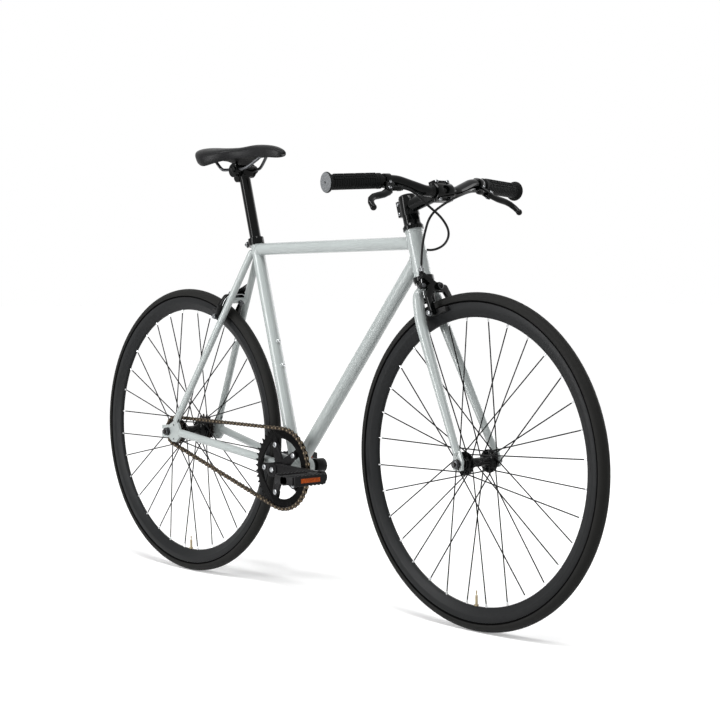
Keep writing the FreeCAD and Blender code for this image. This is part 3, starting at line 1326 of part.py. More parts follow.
def toothed_disc(teeth, pitch_radius, first_angle):
    """Disc in the XZ plane whose tooth gaps hold the chain's rollers."""
    step = 2 * math.pi / teeth
    gap_radius = size("roller_radius") + size("roller_gap")
    corner_reach = gap_radius / math.cos(math.pi / 6)
    tip = pitch_radius + 0.27 * size("chain_pitch")
    tip_half = 0.9 / tip
    corners = []
    for tooth in range(int(teeth)):
        angle = first_angle + tooth * step
        seat = polar(pitch_radius, angle, 0)
        out = polar(1, angle, 0)
        beside = polar(1, angle + math.pi / 2, 0)
        for bend in (-90, -30, 30, 90):
            turn = math.radians(bend)
            corner = beside * math.sin(turn) - out * math.cos(turn)
            corners.append(seat + corner * corner_reach)
        corners.append(polar(tip, angle + step / 2 - tip_half, 0))
        corners.append(polar(tip, angle + step / 2 + tip_half, 0))
    thick = size("sprocket_thickness")
    disc = Part.Face(Part.makePolygon(corners + [corners[0]])).extrude(ACROSS * thick)
    disc.translate(ACROSS * (-size("chain_line") - thick / 2))
    return disc


def angle_of(point, centre):
    return math.atan2(point.z - centre.z, point.x - centre.x)


def across_disc(radius, low, high, angle=0, out=0):
    """Cylinder along Y at a place on a circle about the axis."""
    return Part.makeCylinder(radius, high - low, polar(out, angle, low), ACROSS)


bolt_radius = size("ring_bolt_circle") / 2
arm_count = int(size("ring_arms"))
arm_angles = [2 * math.pi * (arm + 0.5) / arm_count for arm in range(arm_count)]
RING_BOLT = 4
BOLT_HEAD = 5.8
TAB = 9
ring_line = size("chain_line")
ring_half = size("sprocket_thickness") / 2
gap = size("seat_gap")
ring_inside = ring_radius - size("ring_band")
ring_shape = toothed_disc(size("ring_teeth"), ring_radius, angle_of(rollers[first_on_ring], bracket))
ring_shape = ring_shape.cut(across_disc(ring_inside, -ring_line - 5, -ring_line + 5))
for angle in arm_angles:
    tab = across_disc(TAB, -ring_line - ring_half, -ring_line + ring_half, angle, bolt_radius)
    web = Part.makeBox(ring_inside + 4 - bolt_radius, 2 * ring_half, 2 * TAB,
                       Vector(bolt_radius, -ring_line - ring_half, -TAB))
    web.rotate(Vector(0, 0, 0), ACROSS, -math.degrees(angle))
    hole = across_disc(RING_BOLT + gap, -ring_line - 5, -ring_line + 5, angle, bolt_radius)
    ring_shape = ring_shape.fuse([tab, web]).cut(hole)
crank_place = Placement(bracket, Rotation())
node("chainring", shaped("chainring_shape", ring_shape.removeSplitter(), crank_place))

SPIDER = 4.6
spider_in = -ring_line - ring_half - gap
spider_out = spider_in - SPIDER
ring_bolts = []
for angle in arm_angles:
    sleeve = across_disc(RING_BOLT, spider_out - 0.3, -ring_line + ring_half + 0.3, angle, bolt_radius)
    outer_head = across_disc(BOLT_HEAD, spider_out - 2, spider_out - gap, angle, bolt_radius)
    inner_face = -ring_line + ring_half
    inner_head = across_disc(BOLT_HEAD, inner_face + gap, inner_face + 1.6, angle, bolt_radius)
    ring_bolts.append(sleeve.fuse([outer_head, inner_head]))
node("chainring_bolts", shaped("chainring_bolt_set", Part.Compound(ring_bolts), crank_place))

seat_bore_radius = number("rear_shell_radius - 2 + seat_gap")
cog_bore = across_disc(seat_bore_radius, -ring_line - 20, -ring_line + 20)
cog_face = -ring_line - ring_half
lock_ring = across_disc(size("rear_shell_radius") + 3, cog_face - 3.5, cog_face - gap)
cog_back = across_disc(size("rear_shell_radius") + 4, -ring_line + ring_half - 0.5,
                       -ring_line + COG_STEP - gap)
cog_disc = toothed_disc(size("cog_teeth"), cog_radius, angle_of(rollers[first_on_cog], rear_axle))
cog_solid = cog_disc.fuse(cog_back).cut(cog_bore)
node("rear_cog", shaped("rear_cog_shape", Part.Compound([cog_solid, lock_ring.cut(cog_bore)]), rear_place))

free_disc = toothed_disc(size("cog_teeth"), cog_radius, 0)
free_disc.translate(ACROSS * (2 * ring_line))
free_body = across_disc(cog_radius - 6, ring_line - COG_STEP + gap, ring_line + 5)
free_bore = across_disc(seat_bore_radius, ring_line - 20, ring_line + 20)
node("rear_freewheel", shaped("rear_freewheel_shape", free_disc.fuse(free_body).cut(free_bore), rear_place))


# Cranks on a square spindle

crank_length = size("crank_length")
boss_mid = size("crank_offset")
eye_mid = boss_mid + size("crank_flare")
arm_half = size("crank_thickness") / 2
boss_end = boss_mid + arm_half + 4
boss_start = size("bracket_width") / 2 + 14
right_boss_start = -spider_in


def crank_section(along_arm, middle, half_height):
    """Rectangle with cut corners across the crank arm."""
    ring = []
    for across, up in ((-1, -1), (-1, 1), (1, 1), (1, -1)):
        corner = Vector(along_arm, middle + across * arm_half, up * half_height)
        inward = Vector(0, -2 * across, 0)
        vertical = Vector(0, 0, -2 * up)
        pair = [corner + inward, corner + vertical]
        ring.extend(reversed(pair) if across * up < 0 else pair)
    return Part.makePolygon(ring + [ring[0]])


def crank_arm(side, heading, start):
    """Crank arm with a square-holed boss and a pedal eye; heading is 1 for forward."""
    low, high = (start, boss_end) if side > 0 else (-boss_end, -start)
    boss = across_disc(size("crank_boss_radius"), low, high)
    eye_low = Vector(heading * crank_length, side * eye_mid - arm_half, 0)
    eye = Part.makeCylinder(size("crank_eye_radius"), 2 * arm_half, eye_low, ACROSS)
    boss_end_section = crank_section(0, side * boss_mid, size("crank_boss_radius") - 2)
    eye_end_section = crank_section(heading * crank_length, side * eye_mid, size("crank_eye_radius") - 2)
    bar = Part.makeLoft([boss_end_section, eye_end_section], True, True)
    return boss.fuse([bar, eye])


def drilled(shape, heading):
    """The arm with its square hole and the pedal's thread hole."""
    half = size("spindle_square") / 2 + gap
    square = Part.makeBox(2 * half, 4 * boss_end, 2 * half, Vector(-half, -2 * boss_end, -half))
    eye_start = Vector(heading * crank_length, -2 * boss_end, 0)
    pedal_hole = Part.makeCylinder(number("pedal_spindle_radius + seat_gap"), 4 * boss_end, eye_start, ACROSS)
    return shape.cut(square).cut(pedal_hole)


right_arm = crank_arm(-1, 1, right_boss_start)
for angle in arm_angles:
    spider_arm = limb([Vector(0, 0, 0), Vector(bolt_radius, 0, 0)], [15, 8.5], SPIDER)
    lay = Rotation(ACROSS, -math.degrees(angle)).multiply(Rotation(Vector(1, 0, 0), -90))
    spider_arm.Placement = Placement(Vector(0, spider_out, 0), lay)
    hole = across_disc(RING_BOLT + gap, spider_out - 5, spider_in + 5, angle, bolt_radius)
    right_arm = right_arm.fuse(spider_arm).cut(hole)
node("crank_right", shaped("crank_right_shape", drilled(right_arm, 1).removeSplitter(), crank_place))
left_arm = crank_arm(1, -1, boss_start)
node("crank_left", shaped("crank_left_shape", drilled(left_arm, -1).removeSplitter(), crank_place))

journal = shell_half + 6
square_half = size("spindle_square") / 2
spindle = across_disc(size("spindle_radius"), -journal, journal)
square_bar = Part.makeBox(2 * square_half, 2 * boss_end - 4, 2 * square_half,
                          Vector(-square_half, 2 - boss_end, -square_half))
square_bar = square_bar.common(across_disc(size("spindle_radius"), -boss_end, boss_end))
spindle_shape = spindle.fuse(square_bar).removeSplitter()
node("bottom_bracket_spindle", shaped("spindle_shape", spindle_shape, crank_place))


def bracket_cup(name, side):
    """Threaded bearing cup with its flange outside the shell."""
    turn = Rotation(Vector(1, 0, 0), 0 if side > 0 else 180)
    return revolved(name, "XY_Plane", [[
        ("spindle_radius + running_gap", "bracket_width / 2 - 16"),
        ("bracket_bore - seat_gap", "bracket_width / 2 - 16"),
        ("bracket_bore - seat_gap", "bracket_width / 2 + seat_gap"),
        ("bracket_radius - 0.5", "bracket_width / 2 + seat_gap"),
        ("bracket_radius - 0.5", "bracket_width / 2 + 3"),
        ("spindle_radius + running_gap", "bracket_width / 2 + 3"),
    ]], Placement(bracket, turn))


cups = [bracket_cup("cup_left", 1), bracket_cup("cup_right", -1)]
node("bottom_bracket_cups", group("bracket_cup_pair", cups))


# Pedals on their spindles

PEDAL_GAP = 5
pedal_start = eye_mid + arm_half + PEDAL_GAP
pedal_half = size("pedal_width") / 2
pedal_mid = pedal_start + pedal_half
PEDAL_CAP = 7
# The cage narrows towards its two ends, where the treads are.
pedal_outline = [
    ("0 - pedal_length / 2", "0 - pedal_width / 2 + 9"),
    ("0 - pedal_length / 2 + 9", "0 - pedal_width / 2"),
    ("pedal_length / 2 - 9", "0 - pedal_width / 2"),
    ("pedal_length / 2", "0 - pedal_width / 2 + 9"),
    ("pedal_length / 2", "pedal_width / 2 - 9"),
    ("pedal_length / 2 - 9", "pedal_width / 2"),
    ("0 - pedal_length / 2 + 9", "pedal_width / 2"),
    ("0 - pedal_length / 2", "pedal_width / 2 - 9"),
]


def crank_end(heading):
    return bracket + Vector(heading * crank_length, 0, 0)


def pedal_spindle(side, heading):
    """Spindle threaded into the crank's eye, with a collar against the crank."""
    inner = crank_end(heading) + ACROSS * (side * (eye_mid - arm_half))
    shaft_length = pedal_start + size("pedal_width") - PEDAL_CAP - 1 - (eye_mid - arm_half)
    shaft = Part.makeCylinder(size("pedal_spindle_radius"), shaft_length, inner, ACROSS * side)
    collar_at = crank_end(heading) + ACROSS * (side * (eye_mid + arm_half + gap))
    collar = Part.makeCylinder(size("pedal_spindle_radius") + 3, PEDAL_GAP - 1, collar_at, ACROSS * side)
    return shaft.fuse(collar)


spindles = Part.Compound([pedal_spindle(-1, 1), pedal_spindle(1, -1)])
node("pedal_spindles", shaped("pedal_spindle_pair", spindles))


def pedal(name, side, heading):
    """Platform pedal: a cage about a barrel that turns on the spindle."""
    middle = crank_end(heading) + ACROSS * (side * pedal_mid)
    place = Placement(middle, Rotation())
    half = size("pedal_length") / 2
    tall = size("pedal_height") / 2
    cage = extruded(name + "_cage", "XY_Plane", [pedal_outline], "pedal_height", place)
    near, far = number("pedal_spindle_radius") + 6, half - 9
    tools = []
    for end, low in (("front", near), ("rear", -far)):
        tools.append(block(f"{name}_window_{end}", Vector(low, -pedal_half + 9, -2 * tall),
                           Vector(low + far - near, pedal_half - 9, 2 * tall), place))
    open_end = middle - ACROSS * (side * (pedal_half + 1))
    closed_end = middle + ACROSS * (side * (pedal_half - PEDAL_CAP))
    tools.append(rod(name + "_bore", open_end, closed_end, "pedal_spindle_radius + running_gap"))
    return cut(name + "_cut", cage, tools)


node("pedal_right", pedal("right_pedal", -1, 1))
node("pedal_left", pedal("left_pedal", 1, -1))


# Seatpost and its collar

post_height = number("seat_tube_length + post_showing")
post_top = on_seat_tube(post_height)
post_bottom = on_seat_tube(post_height - size("post_length"))
post_bore_top = on_seat_tube(post_height - 25)
node("seatpost", cut("seatpost_cut", rod("seatpost_outer", post_bottom, post_top, "post_radius"),
                     [rod("seatpost_bore", post_bottom, post_bore_top, "post_radius - post_wall")]))

COLLAR_HEIGHT = 14
COLLAR_LIP = 1.5
tube_top = size("seat_tube_length")
collar_low = tube_top - COLLAR_HEIGHT
collar_ring = rod("collar_ring", on_seat_tube(collar_low), on_seat_tube(tube_top + COLLAR_LIP),
                  "seat_tube_radius + 3.6")
collar_lug = block("collar_lug", Vector(-size("seat_tube_radius") - 13, -8, collar_low + 1),
                   Vector(-size("seat_tube_radius"), 8, tube_top), seat_place)
collar_bore = rod("collar_bore", on_seat_tube(collar_low - 5), on_seat_tube(tube_top + gap),
                  "seat_tube_radius + seat_gap")
collar_mouth = rod("collar_mouth", on_seat_tube(collar_low), on_seat_tube(tube_top + 5),
                   "post_radius + running_gap")
collar_slit = block("collar_slit", Vector(-60, -SLIT_WIDTH / 2, collar_low - 1),
                    Vector(0, SLIT_WIDTH / 2, tube_top + 5), seat_place)
node("seat_clamp", cut("seat_clamp_cut", fused("seat_clamp_whole", [collar_ring, collar_lug]),
                       [collar_bore, collar_mouth, collar_slit]))


# Saddle: padded top on a hard base with two rails

nose_x = post_top.x + size("saddle_nose")
saddle_long = size("saddle_length")
saddle_wide = size("saddle_half_width")
saddle_high = post_top.z + size("saddle_rise")
rail_level = saddle_high - size("rail_drop")

# Share of the length from the rear, share of the half width, crown and skirt below the saddle's top
STATIONS = (
    (0.0, 0.58, 9, 36),
    (0.05, 0.86, 3, 42),
    (0.16, 1.0, 1, 42),
    (0.32, 0.84, 3, 35),
    (0.48, 0.47, 3, 27),
    (0.66, 0.30, 0, 27),
    (0.84, 0.27, 3, 30),
    (0.95, 0.22, 10, 32),
    (1.0, 0.12, 19, 31),
)
BASE = 4


def station_x(share):
    return nose_x - saddle_long * (1 - share)


def pad_section(share, width, crown, skirt):
    """Outline across the saddle: flat below, drawn-in sides, crowned top."""
    x = station_x(share)
    half = saddle_wide * width
    top = saddle_high - crown
    low = saddle_high - skirt
    waist = low + (top - low) * 0.62
    right_low = Vector(x, -half * 0.9, low)
    right_waist = Vector(x, -half, waist)
    left_low = Vector(x, half * 0.9, low)
    left_waist = Vector(x, half, waist)
    right_bulge = Vector(x, -half * 0.985, low + (waist - low) * 0.55)
    left_bulge = Vector(x, half * 0.985, low + (waist - low) * 0.55)
    return Part.Wire([
        Part.LineSegment(left_low, right_low).toShape(),
        Part.Arc(right_low, right_bulge, right_waist).toShape(),
        Part.Arc(right_waist, Vector(x, 0, top), left_waist).toShape(),
        Part.Arc(left_waist, left_bulge, left_low).toShape(),
    ])


def base_section(share, width, crown, skirt):
    """Outline of the hard base below the pad."""
    x = station_x(share)
    half = saddle_wide * width * 0.86
    high = saddle_high - skirt - gap
    ring = [Vector(x, -half, high), Vector(x, half, high),
            Vector(x, half * 0.92, high - BASE), Vector(x, -half * 0.92, high - BASE)]
    return Part.makePolygon(ring + [ring[0]])


saddle_pad = Part.makeLoft([pad_section(*station) for station in STATIONS], True, True)
node("saddle_pad", shaped("saddle_pad_shape", saddle_pad))
saddle_base = Part.makeLoft([base_section(*station) for station in STATIONS[1:-1]], True, True)
node("saddle_base", shaped("saddle_base_shape", saddle_base))

rail_radius = size("rail_radius")
spread = size("rail_spread")
clamp_centre = Vector(post_top.x - 2, 0, rail_level)
rail_rear = Vector(station_x(0.17), -spread - 8, saddle_high - 42 - BASE + 0.5)
rail_front = Vector(station_x(0.84), -0.4 * spread, saddle_high - 30 - BASE + 0.5)
rail_points = [rail_rear, Vector(clamp_centre.x - 48, -spread, rail_level),
               Vector(clamp_centre.x + 34, -spread, rail_level), rail_front]
rail_path = rounded_path(rail_points, [14, 60])[0]
base_form = shaped("rail_base_trim", saddle_base)
rail_bar = shaped("rail_bar", swept(rail_path, rail_radius))
rail_right = cut("rail_right", rail_bar, [base_form])
node("saddle_rails", group("saddle_rail_pair", [rail_right, mirrored("rail_left", rail_right)]))

clamp_half_span = ACROSS * (spread + 8)
clamp_barrel = rod("clamp_barrel", clamp_centre - clamp_half_span, clamp_centre + clamp_half_span,
                   "rail_radius + 6.5")
cradle_low = post_top.z - rail_level + 7
cradle_place = Placement(clamp_centre, Rotation())
cradle = block("clamp_cradle", Vector(-15, -14, cradle_low), Vector(15, 14, 2), cradle_place)
post_seat = post_height + gap
cradle_foot = rod("clamp_foot", on_seat_tube(post_seat), on_seat_tube(post_seat + 16), "post_radius")
rail_room = shaped("clamp_rail_room", swept(rail_path, rail_radius + gap))
saddle_clamp_whole = fused("saddle_clamp_whole", [clamp_barrel, cradle, cradle_foot])
rail_rooms = [rail_room, mirrored("clamp_rail_room_left", rail_room)]
node("saddle_clamp", cut("saddle_clamp_cut", saddle_clamp_whole, rail_rooms))


# Brake cables along their real routes, with the bare wire between barrel and anchor

def cable(name, points, place, start):
    """Housing from a lever to a brake's barrel, and the wire below it."""
    path, radii = rounded_path(points)
    print(name, "bend radii", [round(radius) for radius in radii])
    housing = swept(path, size("housing_radius"))
    wire_top = place.multVec(barrel_spot(start, HOUSING_FOOT + 1))
    wire_low = place.multVec(barrel_spot(start, (ANCHOR_UP + 6.6 - BARREL_UP) / barrel_aim.y))
    return shaped(name, housing.fuse(prism(wire_top, wire_low, 0.8, 6)))


HOUSING_FOOT = BARREL_HALF - 5 + gap
LEVER_RUN = 19
left_barrel_end = to_right(barrel_end)
left_outward = to_right(outward)
front_points = [
    left_barrel_end + left_outward * 5,
    left_barrel_end - left_outward * LEVER_RUN,
    bar_centre + Vector(20, 34, -7),
    bar_centre + Vector(21, -4, -21),
    bar_centre + Vector(2, -32, -46),
    bar_centre + Vector(-9, -38, -86),
    front_brake.multVec(barrel_spot(FRONT_ARM_START, HOUSING_FOOT + 36)),
    front_brake.multVec(barrel_spot(FRONT_ARM_START, HOUSING_FOOT)),
]
node("front_brake_cable", cable("front_cable", front_points, front_brake, FRONT_ARM_START))

clip_side = size("top_tube_radius") + size("housing_radius") + 1.2
tube_span = top_tube_start - top_tube_end
FIRST_CLIP = 0.06
CLIP_STEP = 0.12
SAG = 1.4


def beside_top_tube(step):
    """Place of the housing on the left of the top tube; it sags a little between clips."""
    spot = top_tube_end + tube_span * (FIRST_CLIP + CLIP_STEP * step) + ACROSS * clip_side
    return spot - Vector(0, 0, SAG * (step % 2))


rear_points = [
    barrel_end + outward * 5,
    barrel_end - outward * LEVER_RUN,
    bar_centre + Vector(12, -52, -27),
    bar_centre + Vector(17, -12, -53),
    bar_centre + Vector(12, 15, -83),
    bar_centre + Vector(-24, 33, -109),
    top_tube_end + Vector(2, 32, -17),
]
rear_points += [beside_top_tube(step) for step in range(8)]
rear_points += [
    top_tube_start + Vector(-6, 27, 0),
    rear_brake.multVec(barrel_spot(REAR_ARM_START, HOUSING_FOOT + 62)) + Vector(14, -2, 0),
    rear_brake.multVec(barrel_spot(REAR_ARM_START, HOUSING_FOOT + 34)),
    rear_brake.multVec(barrel_spot(REAR_ARM_START, HOUSING_FOOT)),
]
node("rear_brake_cable", cable("rear_cable", rear_points, rear_brake, REAR_ARM_START))

clips = []
reach = (top_tube_start - top_tube_end).normalize() * 4
for step in (2, 4, 6):
    spot = beside_top_tube(step)
    centre = spot - ACROSS * clip_side
    loop = Part.makeCylinder(size("housing_radius") + 1.8, 8, spot - reach, reach)
    tube_bore = Part.makeCylinder(size("top_tube_radius") + gap, 20, centre - reach * 2, reach)
    housing_bore = Part.makeCylinder(size("housing_radius") + 0.6, 20, spot - reach * 2, reach)
    clips.append(loop.cut(tube_bore).cut(housing_bore))
node("cable_clips", shaped("cable_clip_set", Part.Compound(clips)))


# Check every object, then write one file per sub-part

doc.recompute()
for thing in doc.Objects:
    if "Invalid" in thing.State or "Error" in thing.State:
        raise RuntimeError(f"{thing.Name} did not build: {thing.State}")
os.makedirs("parts", exist_ok=True)
for thing in nodes:
    if thing.Shape.isNull() or not thing.Shape.isValid():
        raise RuntimeError(f"{thing.Label} has no valid shape")
    thing.Shape.exportStep(f"parts/{thing.Label}.step")
print(len(nodes), "sub-parts written")
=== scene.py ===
# %% [markdown]
# # A fixed gear bicycle, dressed for its picture
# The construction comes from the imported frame, in metres, +X forward and +Z up. This file gives
# every surface its finish and rebuilds the pieces whose curves, tread, ribs or links need more
# than the construction holds. Each piece rides on the body that carries it.

# %% Load the frame
import json
import math

import bmesh
import bpy
from mathutils import Matrix, Vector


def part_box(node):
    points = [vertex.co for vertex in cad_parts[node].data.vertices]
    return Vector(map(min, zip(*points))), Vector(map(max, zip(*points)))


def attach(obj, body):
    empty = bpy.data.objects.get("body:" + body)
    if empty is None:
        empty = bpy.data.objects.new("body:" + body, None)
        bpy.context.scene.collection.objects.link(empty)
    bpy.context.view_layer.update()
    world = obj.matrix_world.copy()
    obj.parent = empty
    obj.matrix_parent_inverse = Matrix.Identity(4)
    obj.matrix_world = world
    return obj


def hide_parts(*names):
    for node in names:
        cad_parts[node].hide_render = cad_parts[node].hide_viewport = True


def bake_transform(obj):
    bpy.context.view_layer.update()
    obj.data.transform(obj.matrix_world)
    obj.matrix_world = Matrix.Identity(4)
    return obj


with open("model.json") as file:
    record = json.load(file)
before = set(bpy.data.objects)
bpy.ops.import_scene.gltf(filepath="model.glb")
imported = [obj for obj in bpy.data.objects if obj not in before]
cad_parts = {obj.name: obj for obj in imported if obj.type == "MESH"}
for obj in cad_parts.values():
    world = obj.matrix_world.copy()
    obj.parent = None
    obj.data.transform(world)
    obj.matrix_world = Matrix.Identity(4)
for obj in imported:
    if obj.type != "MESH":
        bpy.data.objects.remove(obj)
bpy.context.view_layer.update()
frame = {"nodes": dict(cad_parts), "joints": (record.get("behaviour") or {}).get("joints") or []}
joints = {joint["name"]: joint for joint in frame["joints"]}

# %% [markdown]
# ## Where things are
# The joints already say where the axles, the steering axis and the seat tube lie, so the places
# below are worked out from them and never typed twice.

# %% Main places
TAU = 2 * math.pi
ACROSS = Vector((0, 1, 0))
AHEAD = Vector((1, 0, 0))


def millimetres(*numbers):
    """A place or a step written in millimetres."""
    return Vector(numbers) / 1000


def joint_place(name):
    return Vector(joints[name]["pos_m"])


def joint_axis(name):
    return Vector(joints[name]["axis"]).normalized()


def basis(origin, z_axis, x_hint):
    """Matrix whose local Z lies along one direction and whose local X leans to another."""
    z = Vector(z_axis).normalized()
    y = z.cross(Vector(x_hint)).normalized()
    x = y.cross(z)
    return Matrix.Translation(origin) @ Matrix((x, y, z)).transposed().to_4x4()


rear_axle = joint_place("rear_wheel_spin")
front_axle = joint_place("front_wheel_spin")
bracket = joint_place("crank_spin")
head_foot = joint_place("steer")
steer_up = joint_axis("steer")
steer_ahead = Vector((steer_up.z, 0, -steer_up.x))
seat_up = joint_axis("saddle_height")
seat_ahead = Vector((seat_up.z, 0, -seat_up.x))
front_bolt = joint_place("front_brake_right")
rear_bolt = joint_place("rear_brake_left")
print("wheelbase", round(1000 * (front_axle - rear_axle).length), "mm")

# %% [markdown]
# ## Ways of making a mesh
# Nearly everything on a bicycle is turned on a lathe, drawn as a tube or pressed from plate, so
# three helpers follow those three trades: spin a profile, push a ring along a path, extrude an
# outline.

# %% Turned, drawn and pressed shapes


def poured(source, mesh):
    """Adds one mesh to another."""
    data = bpy.data.meshes.new("poured")
    source.to_mesh(data)
    source.free()
    mesh.from_mesh(data)
    bpy.data.meshes.remove(data)


def turned(mesh, profile, place, steps=48, closed=False):
    """Spins a profile of (radius, height) in millimetres about the place's Z axis."""
    shape = bmesh.new()
    points = [shape.verts.new((r / 1000, 0, h / 1000)) for r, h in profile]
    pairs = list(zip(points, points[1:])) + ([(points[-1], points[0])] if closed else [])
    edges = [shape.edges.new(pair) for pair in pairs]
    bmesh.ops.spin(shape, geom=points + edges, cent=(0, 0, 0), axis=(0, 0, 1), angle=TAU, steps=steps,
                   use_merge=True)
    bmesh.ops.remove_doubles(shape, verts=shape.verts, dist=1e-6)
    bmesh.ops.recalc_face_normals(shape, faces=shape.faces)
    bmesh.ops.transform(shape, matrix=place, verts=shape.verts)
    poured(shape, mesh)


def grown_parts(grown):
    """The vertices and the edges that an extrusion made."""
    verts = [item for item in grown["geom"] if isinstance(item, bmesh.types.BMVert)]
    edges = [item for item in grown["geom"] if isinstance(item, bmesh.types.BMEdge)]
    return verts, edges


def drawn(mesh, path, radii, sides=20, capped=True):
    """Pushes a ring along a path of points; radii holds one radius, or one for each point."""
    if not isinstance(radii, (list, tuple)):
        radii = [radii] * len(path)
    heading = (path[1] - path[0]).normalized()
    side = heading.orthogonal().normalized()
    place = basis(path[0], heading, side)
    ring = bmesh.ops.create_circle(mesh, cap_ends=capped, segments=sides, radius=radii[0] / 1000)["verts"]
    bmesh.ops.transform(mesh, matrix=place, verts=ring)
    edges = list({edge for vert in ring for edge in vert.link_edges})
    for index in range(1, len(path)):
        verts, edges = grown_parts(bmesh.ops.extrude_edge_only(mesh, edges=edges))
        ahead = path[min(index + 1, len(path) - 1)] - path[index - 1]
        side = (side - ahead.normalized() * side.dot(ahead.normalized())).normalized()
        onward = basis(path[index], ahead, side)
        grow = Matrix.Scale(radii[index] / radii[index - 1], 4)
        bmesh.ops.transform(mesh, matrix=onward @ grow @ place.inverted(), verts=verts)
        place = onward
    if capped:
        bmesh.ops.contextual_create(mesh, geom=edges)


def pressed(mesh, outline, thickness, place, middle=True):
    """Extrudes a flat outline of (x, y) in millimetres along the place's Z axis."""
    low = -thickness / 2000 if middle else 0
    verts = [mesh.verts.new((x / 1000, y / 1000, low)) for x, y in outline]
    face = mesh.faces.new(verts)
    top = grown_parts(bmesh.ops.extrude_face_region(mesh, geom=[face]))[0]
    bmesh.ops.translate(mesh, vec=(0, 0, thickness / 1000), verts=top)
    faces = {face for vert in verts + top for face in vert.link_faces}
    bmesh.ops.recalc_face_normals(mesh, faces=list(faces))
    bmesh.ops.transform(mesh, matrix=place, verts=verts + top)


# %% [markdown]
# A forging or a casting starts from a copy of its CAD node: the loose triangles are merged, flat
# areas made whole again and the sharp edges rounded. Bent tubes and cables follow a smooth line.
# Each finished mesh becomes an object that rides on its body.

# %% Rounded copies and smooth lines
MERGE = 2e-6
FLAT = math.radians(3)


def softened(mesh, width, steepest=35, segments=2):
    """Rounds every edge sharper than an angle, as casting or tumbling does."""
    sharp = [edge for edge in mesh.edges if edge.is_manifold
             and math.degrees(edge.calc_face_angle(0)) > steepest]
    bmesh.ops.bevel(mesh, geom=sharp, offset=width / 1000, offset_type="OFFSET", segments=segments,
                    profile=0.5, affect="EDGES", clamp_overlap=True, material=-1)


def merged(node):
    """A copy of a CAD node's mesh with its triangles joined."""
    mesh = bmesh.new()
    mesh.from_mesh(frame["nodes"][node].data)
    bmesh.ops.remove_doubles(mesh, verts=mesh.verts, dist=MERGE)
    return mesh


def copied(node, width):
    """A joined and rounded copy of a CAD node's mesh."""
    mesh = merged(node)
    bmesh.ops.dissolve_limit(mesh, angle_limit=FLAT, verts=mesh.verts, edges=mesh.edges)
    softened(mesh, width)
    return mesh


def smooth_path(points, count=8):
    """Points on the smooth line that a bent tube or a cable takes between its control points."""
    curve = bpy.data.curves.new("route", "CURVE")
    curve.dimensions = "3D"
    curve.resolution_u = count
    spline = curve.splines.new("NURBS")
    spline.points.add(len(points) - 1)
    for point, place in zip(spline.points, points):
        point.co = (*place, 1)
    spline.use_endpoint_u = True
    spline.order_u = 3
    holder = bpy.data.objects.new("route", curve)
    mesh = bpy.data.meshes.new_from_object(holder)
    found = [vert.co.copy() for vert in mesh.vertices]
    bpy.data.objects.remove(holder)
    bpy.data.meshes.remove(mesh)
    bpy.data.curves.remove(curve)
    return found


def piece(name, mesh, finish, body, stands_for=(), crisp=40):
    """Makes an object of a mesh, gives it its finish and lets it ride on a body, if it has one."""
    bmesh.ops.recalc_face_normals(mesh, faces=mesh.faces)
    data = bpy.data.meshes.new(name)
    mesh.to_mesh(data)
    mesh.free()
    for face in data.polygons:
        face.use_smooth = True
    data.set_sharp_from_angle(angle=math.radians(crisp))
    thing = bpy.data.objects.new(name, data)
    bpy.context.scene.collection.objects.link(thing)
    for layer in finish if isinstance(finish, (list, tuple)) else [finish]:
        data.materials.append(layer)
    if body:
        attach(thing, body)
    if stands_for:
        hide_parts(*stands_for)
    print("made", name, len(data.polygons), "faces")
    return thing


def rounded(node, way, width, finish, body):
    """Lets a rounded copy stand for a CAD node; its name says in which way it is made."""
    piece(f"{node}_{way}", copied(node, width), finish, body, [node])


# %% [markdown]
# ## Finishes
# Each finish starts from the real material. One function turns a sRGB hex value to linear colour,
# one adds a node with its settings, its links and its fixed numbers, and one mottles a surface:
# a soft noise moves its colour and its roughness between two values.

# %% Node helpers


def colour(text):
    """Linear colour of a sRGB hex value."""
    shares = [int(text[index:index + 2], 16) / 255 for index in (0, 2, 4)]
    return [share / 12.92 if share <= 0.04045 else ((share + 0.055) / 1.055) ** 2.4 for share in shares] + [1]


def add(finish, kind, settings=None, inputs=None):
    """Adds one node; an input that is a socket is linked, any other value is set."""
    tree = finish.node_tree
    made = tree.nodes.new("ShaderNode" + kind)
    for key, value in (settings or {}).items():
        setattr(made, key, value)
    for key, value in (inputs or {}).items():
        if isinstance(value, bpy.types.NodeSocket):
            tree.links.new(value, made.inputs[key])
        else:
            made.inputs[key].default_value = value
    return made


def shader_of(finish):
    return finish.node_tree.nodes["Principled BSDF"]


def new_finish(name, **fixed):
    """A material with any fixed numbers on its surface shader's own sockets."""
    finish = bpy.data.materials.new(name)
    finish.use_nodes = True
    for key, value in fixed.items():
        shader_of(finish).inputs[key.replace("_", " ")].default_value = value
    print("finish", finish.name)
    return finish


def feed(finish, socket, value):
    finish.node_tree.links.new(value, shader_of(finish).inputs[socket])


def texture(finish, kind, millimetre, **more):
    """A texture in the piece's own space whose features are about as wide as a size in millimetres."""
    place = add(finish, "TexCoord").outputs["Object"]
    return add(finish, kind, None, {"Vector": place, "Scale": 1000 / millimetre, **more})


def blend_of(finish, factor, dark, light):
    """Mix of two hex colours."""
    inputs = {"Factor": factor, 6: colour(dark), 7: colour(light)}
    return add(finish, "Mix", {"data_type": "RGBA"}, inputs).outputs[2]


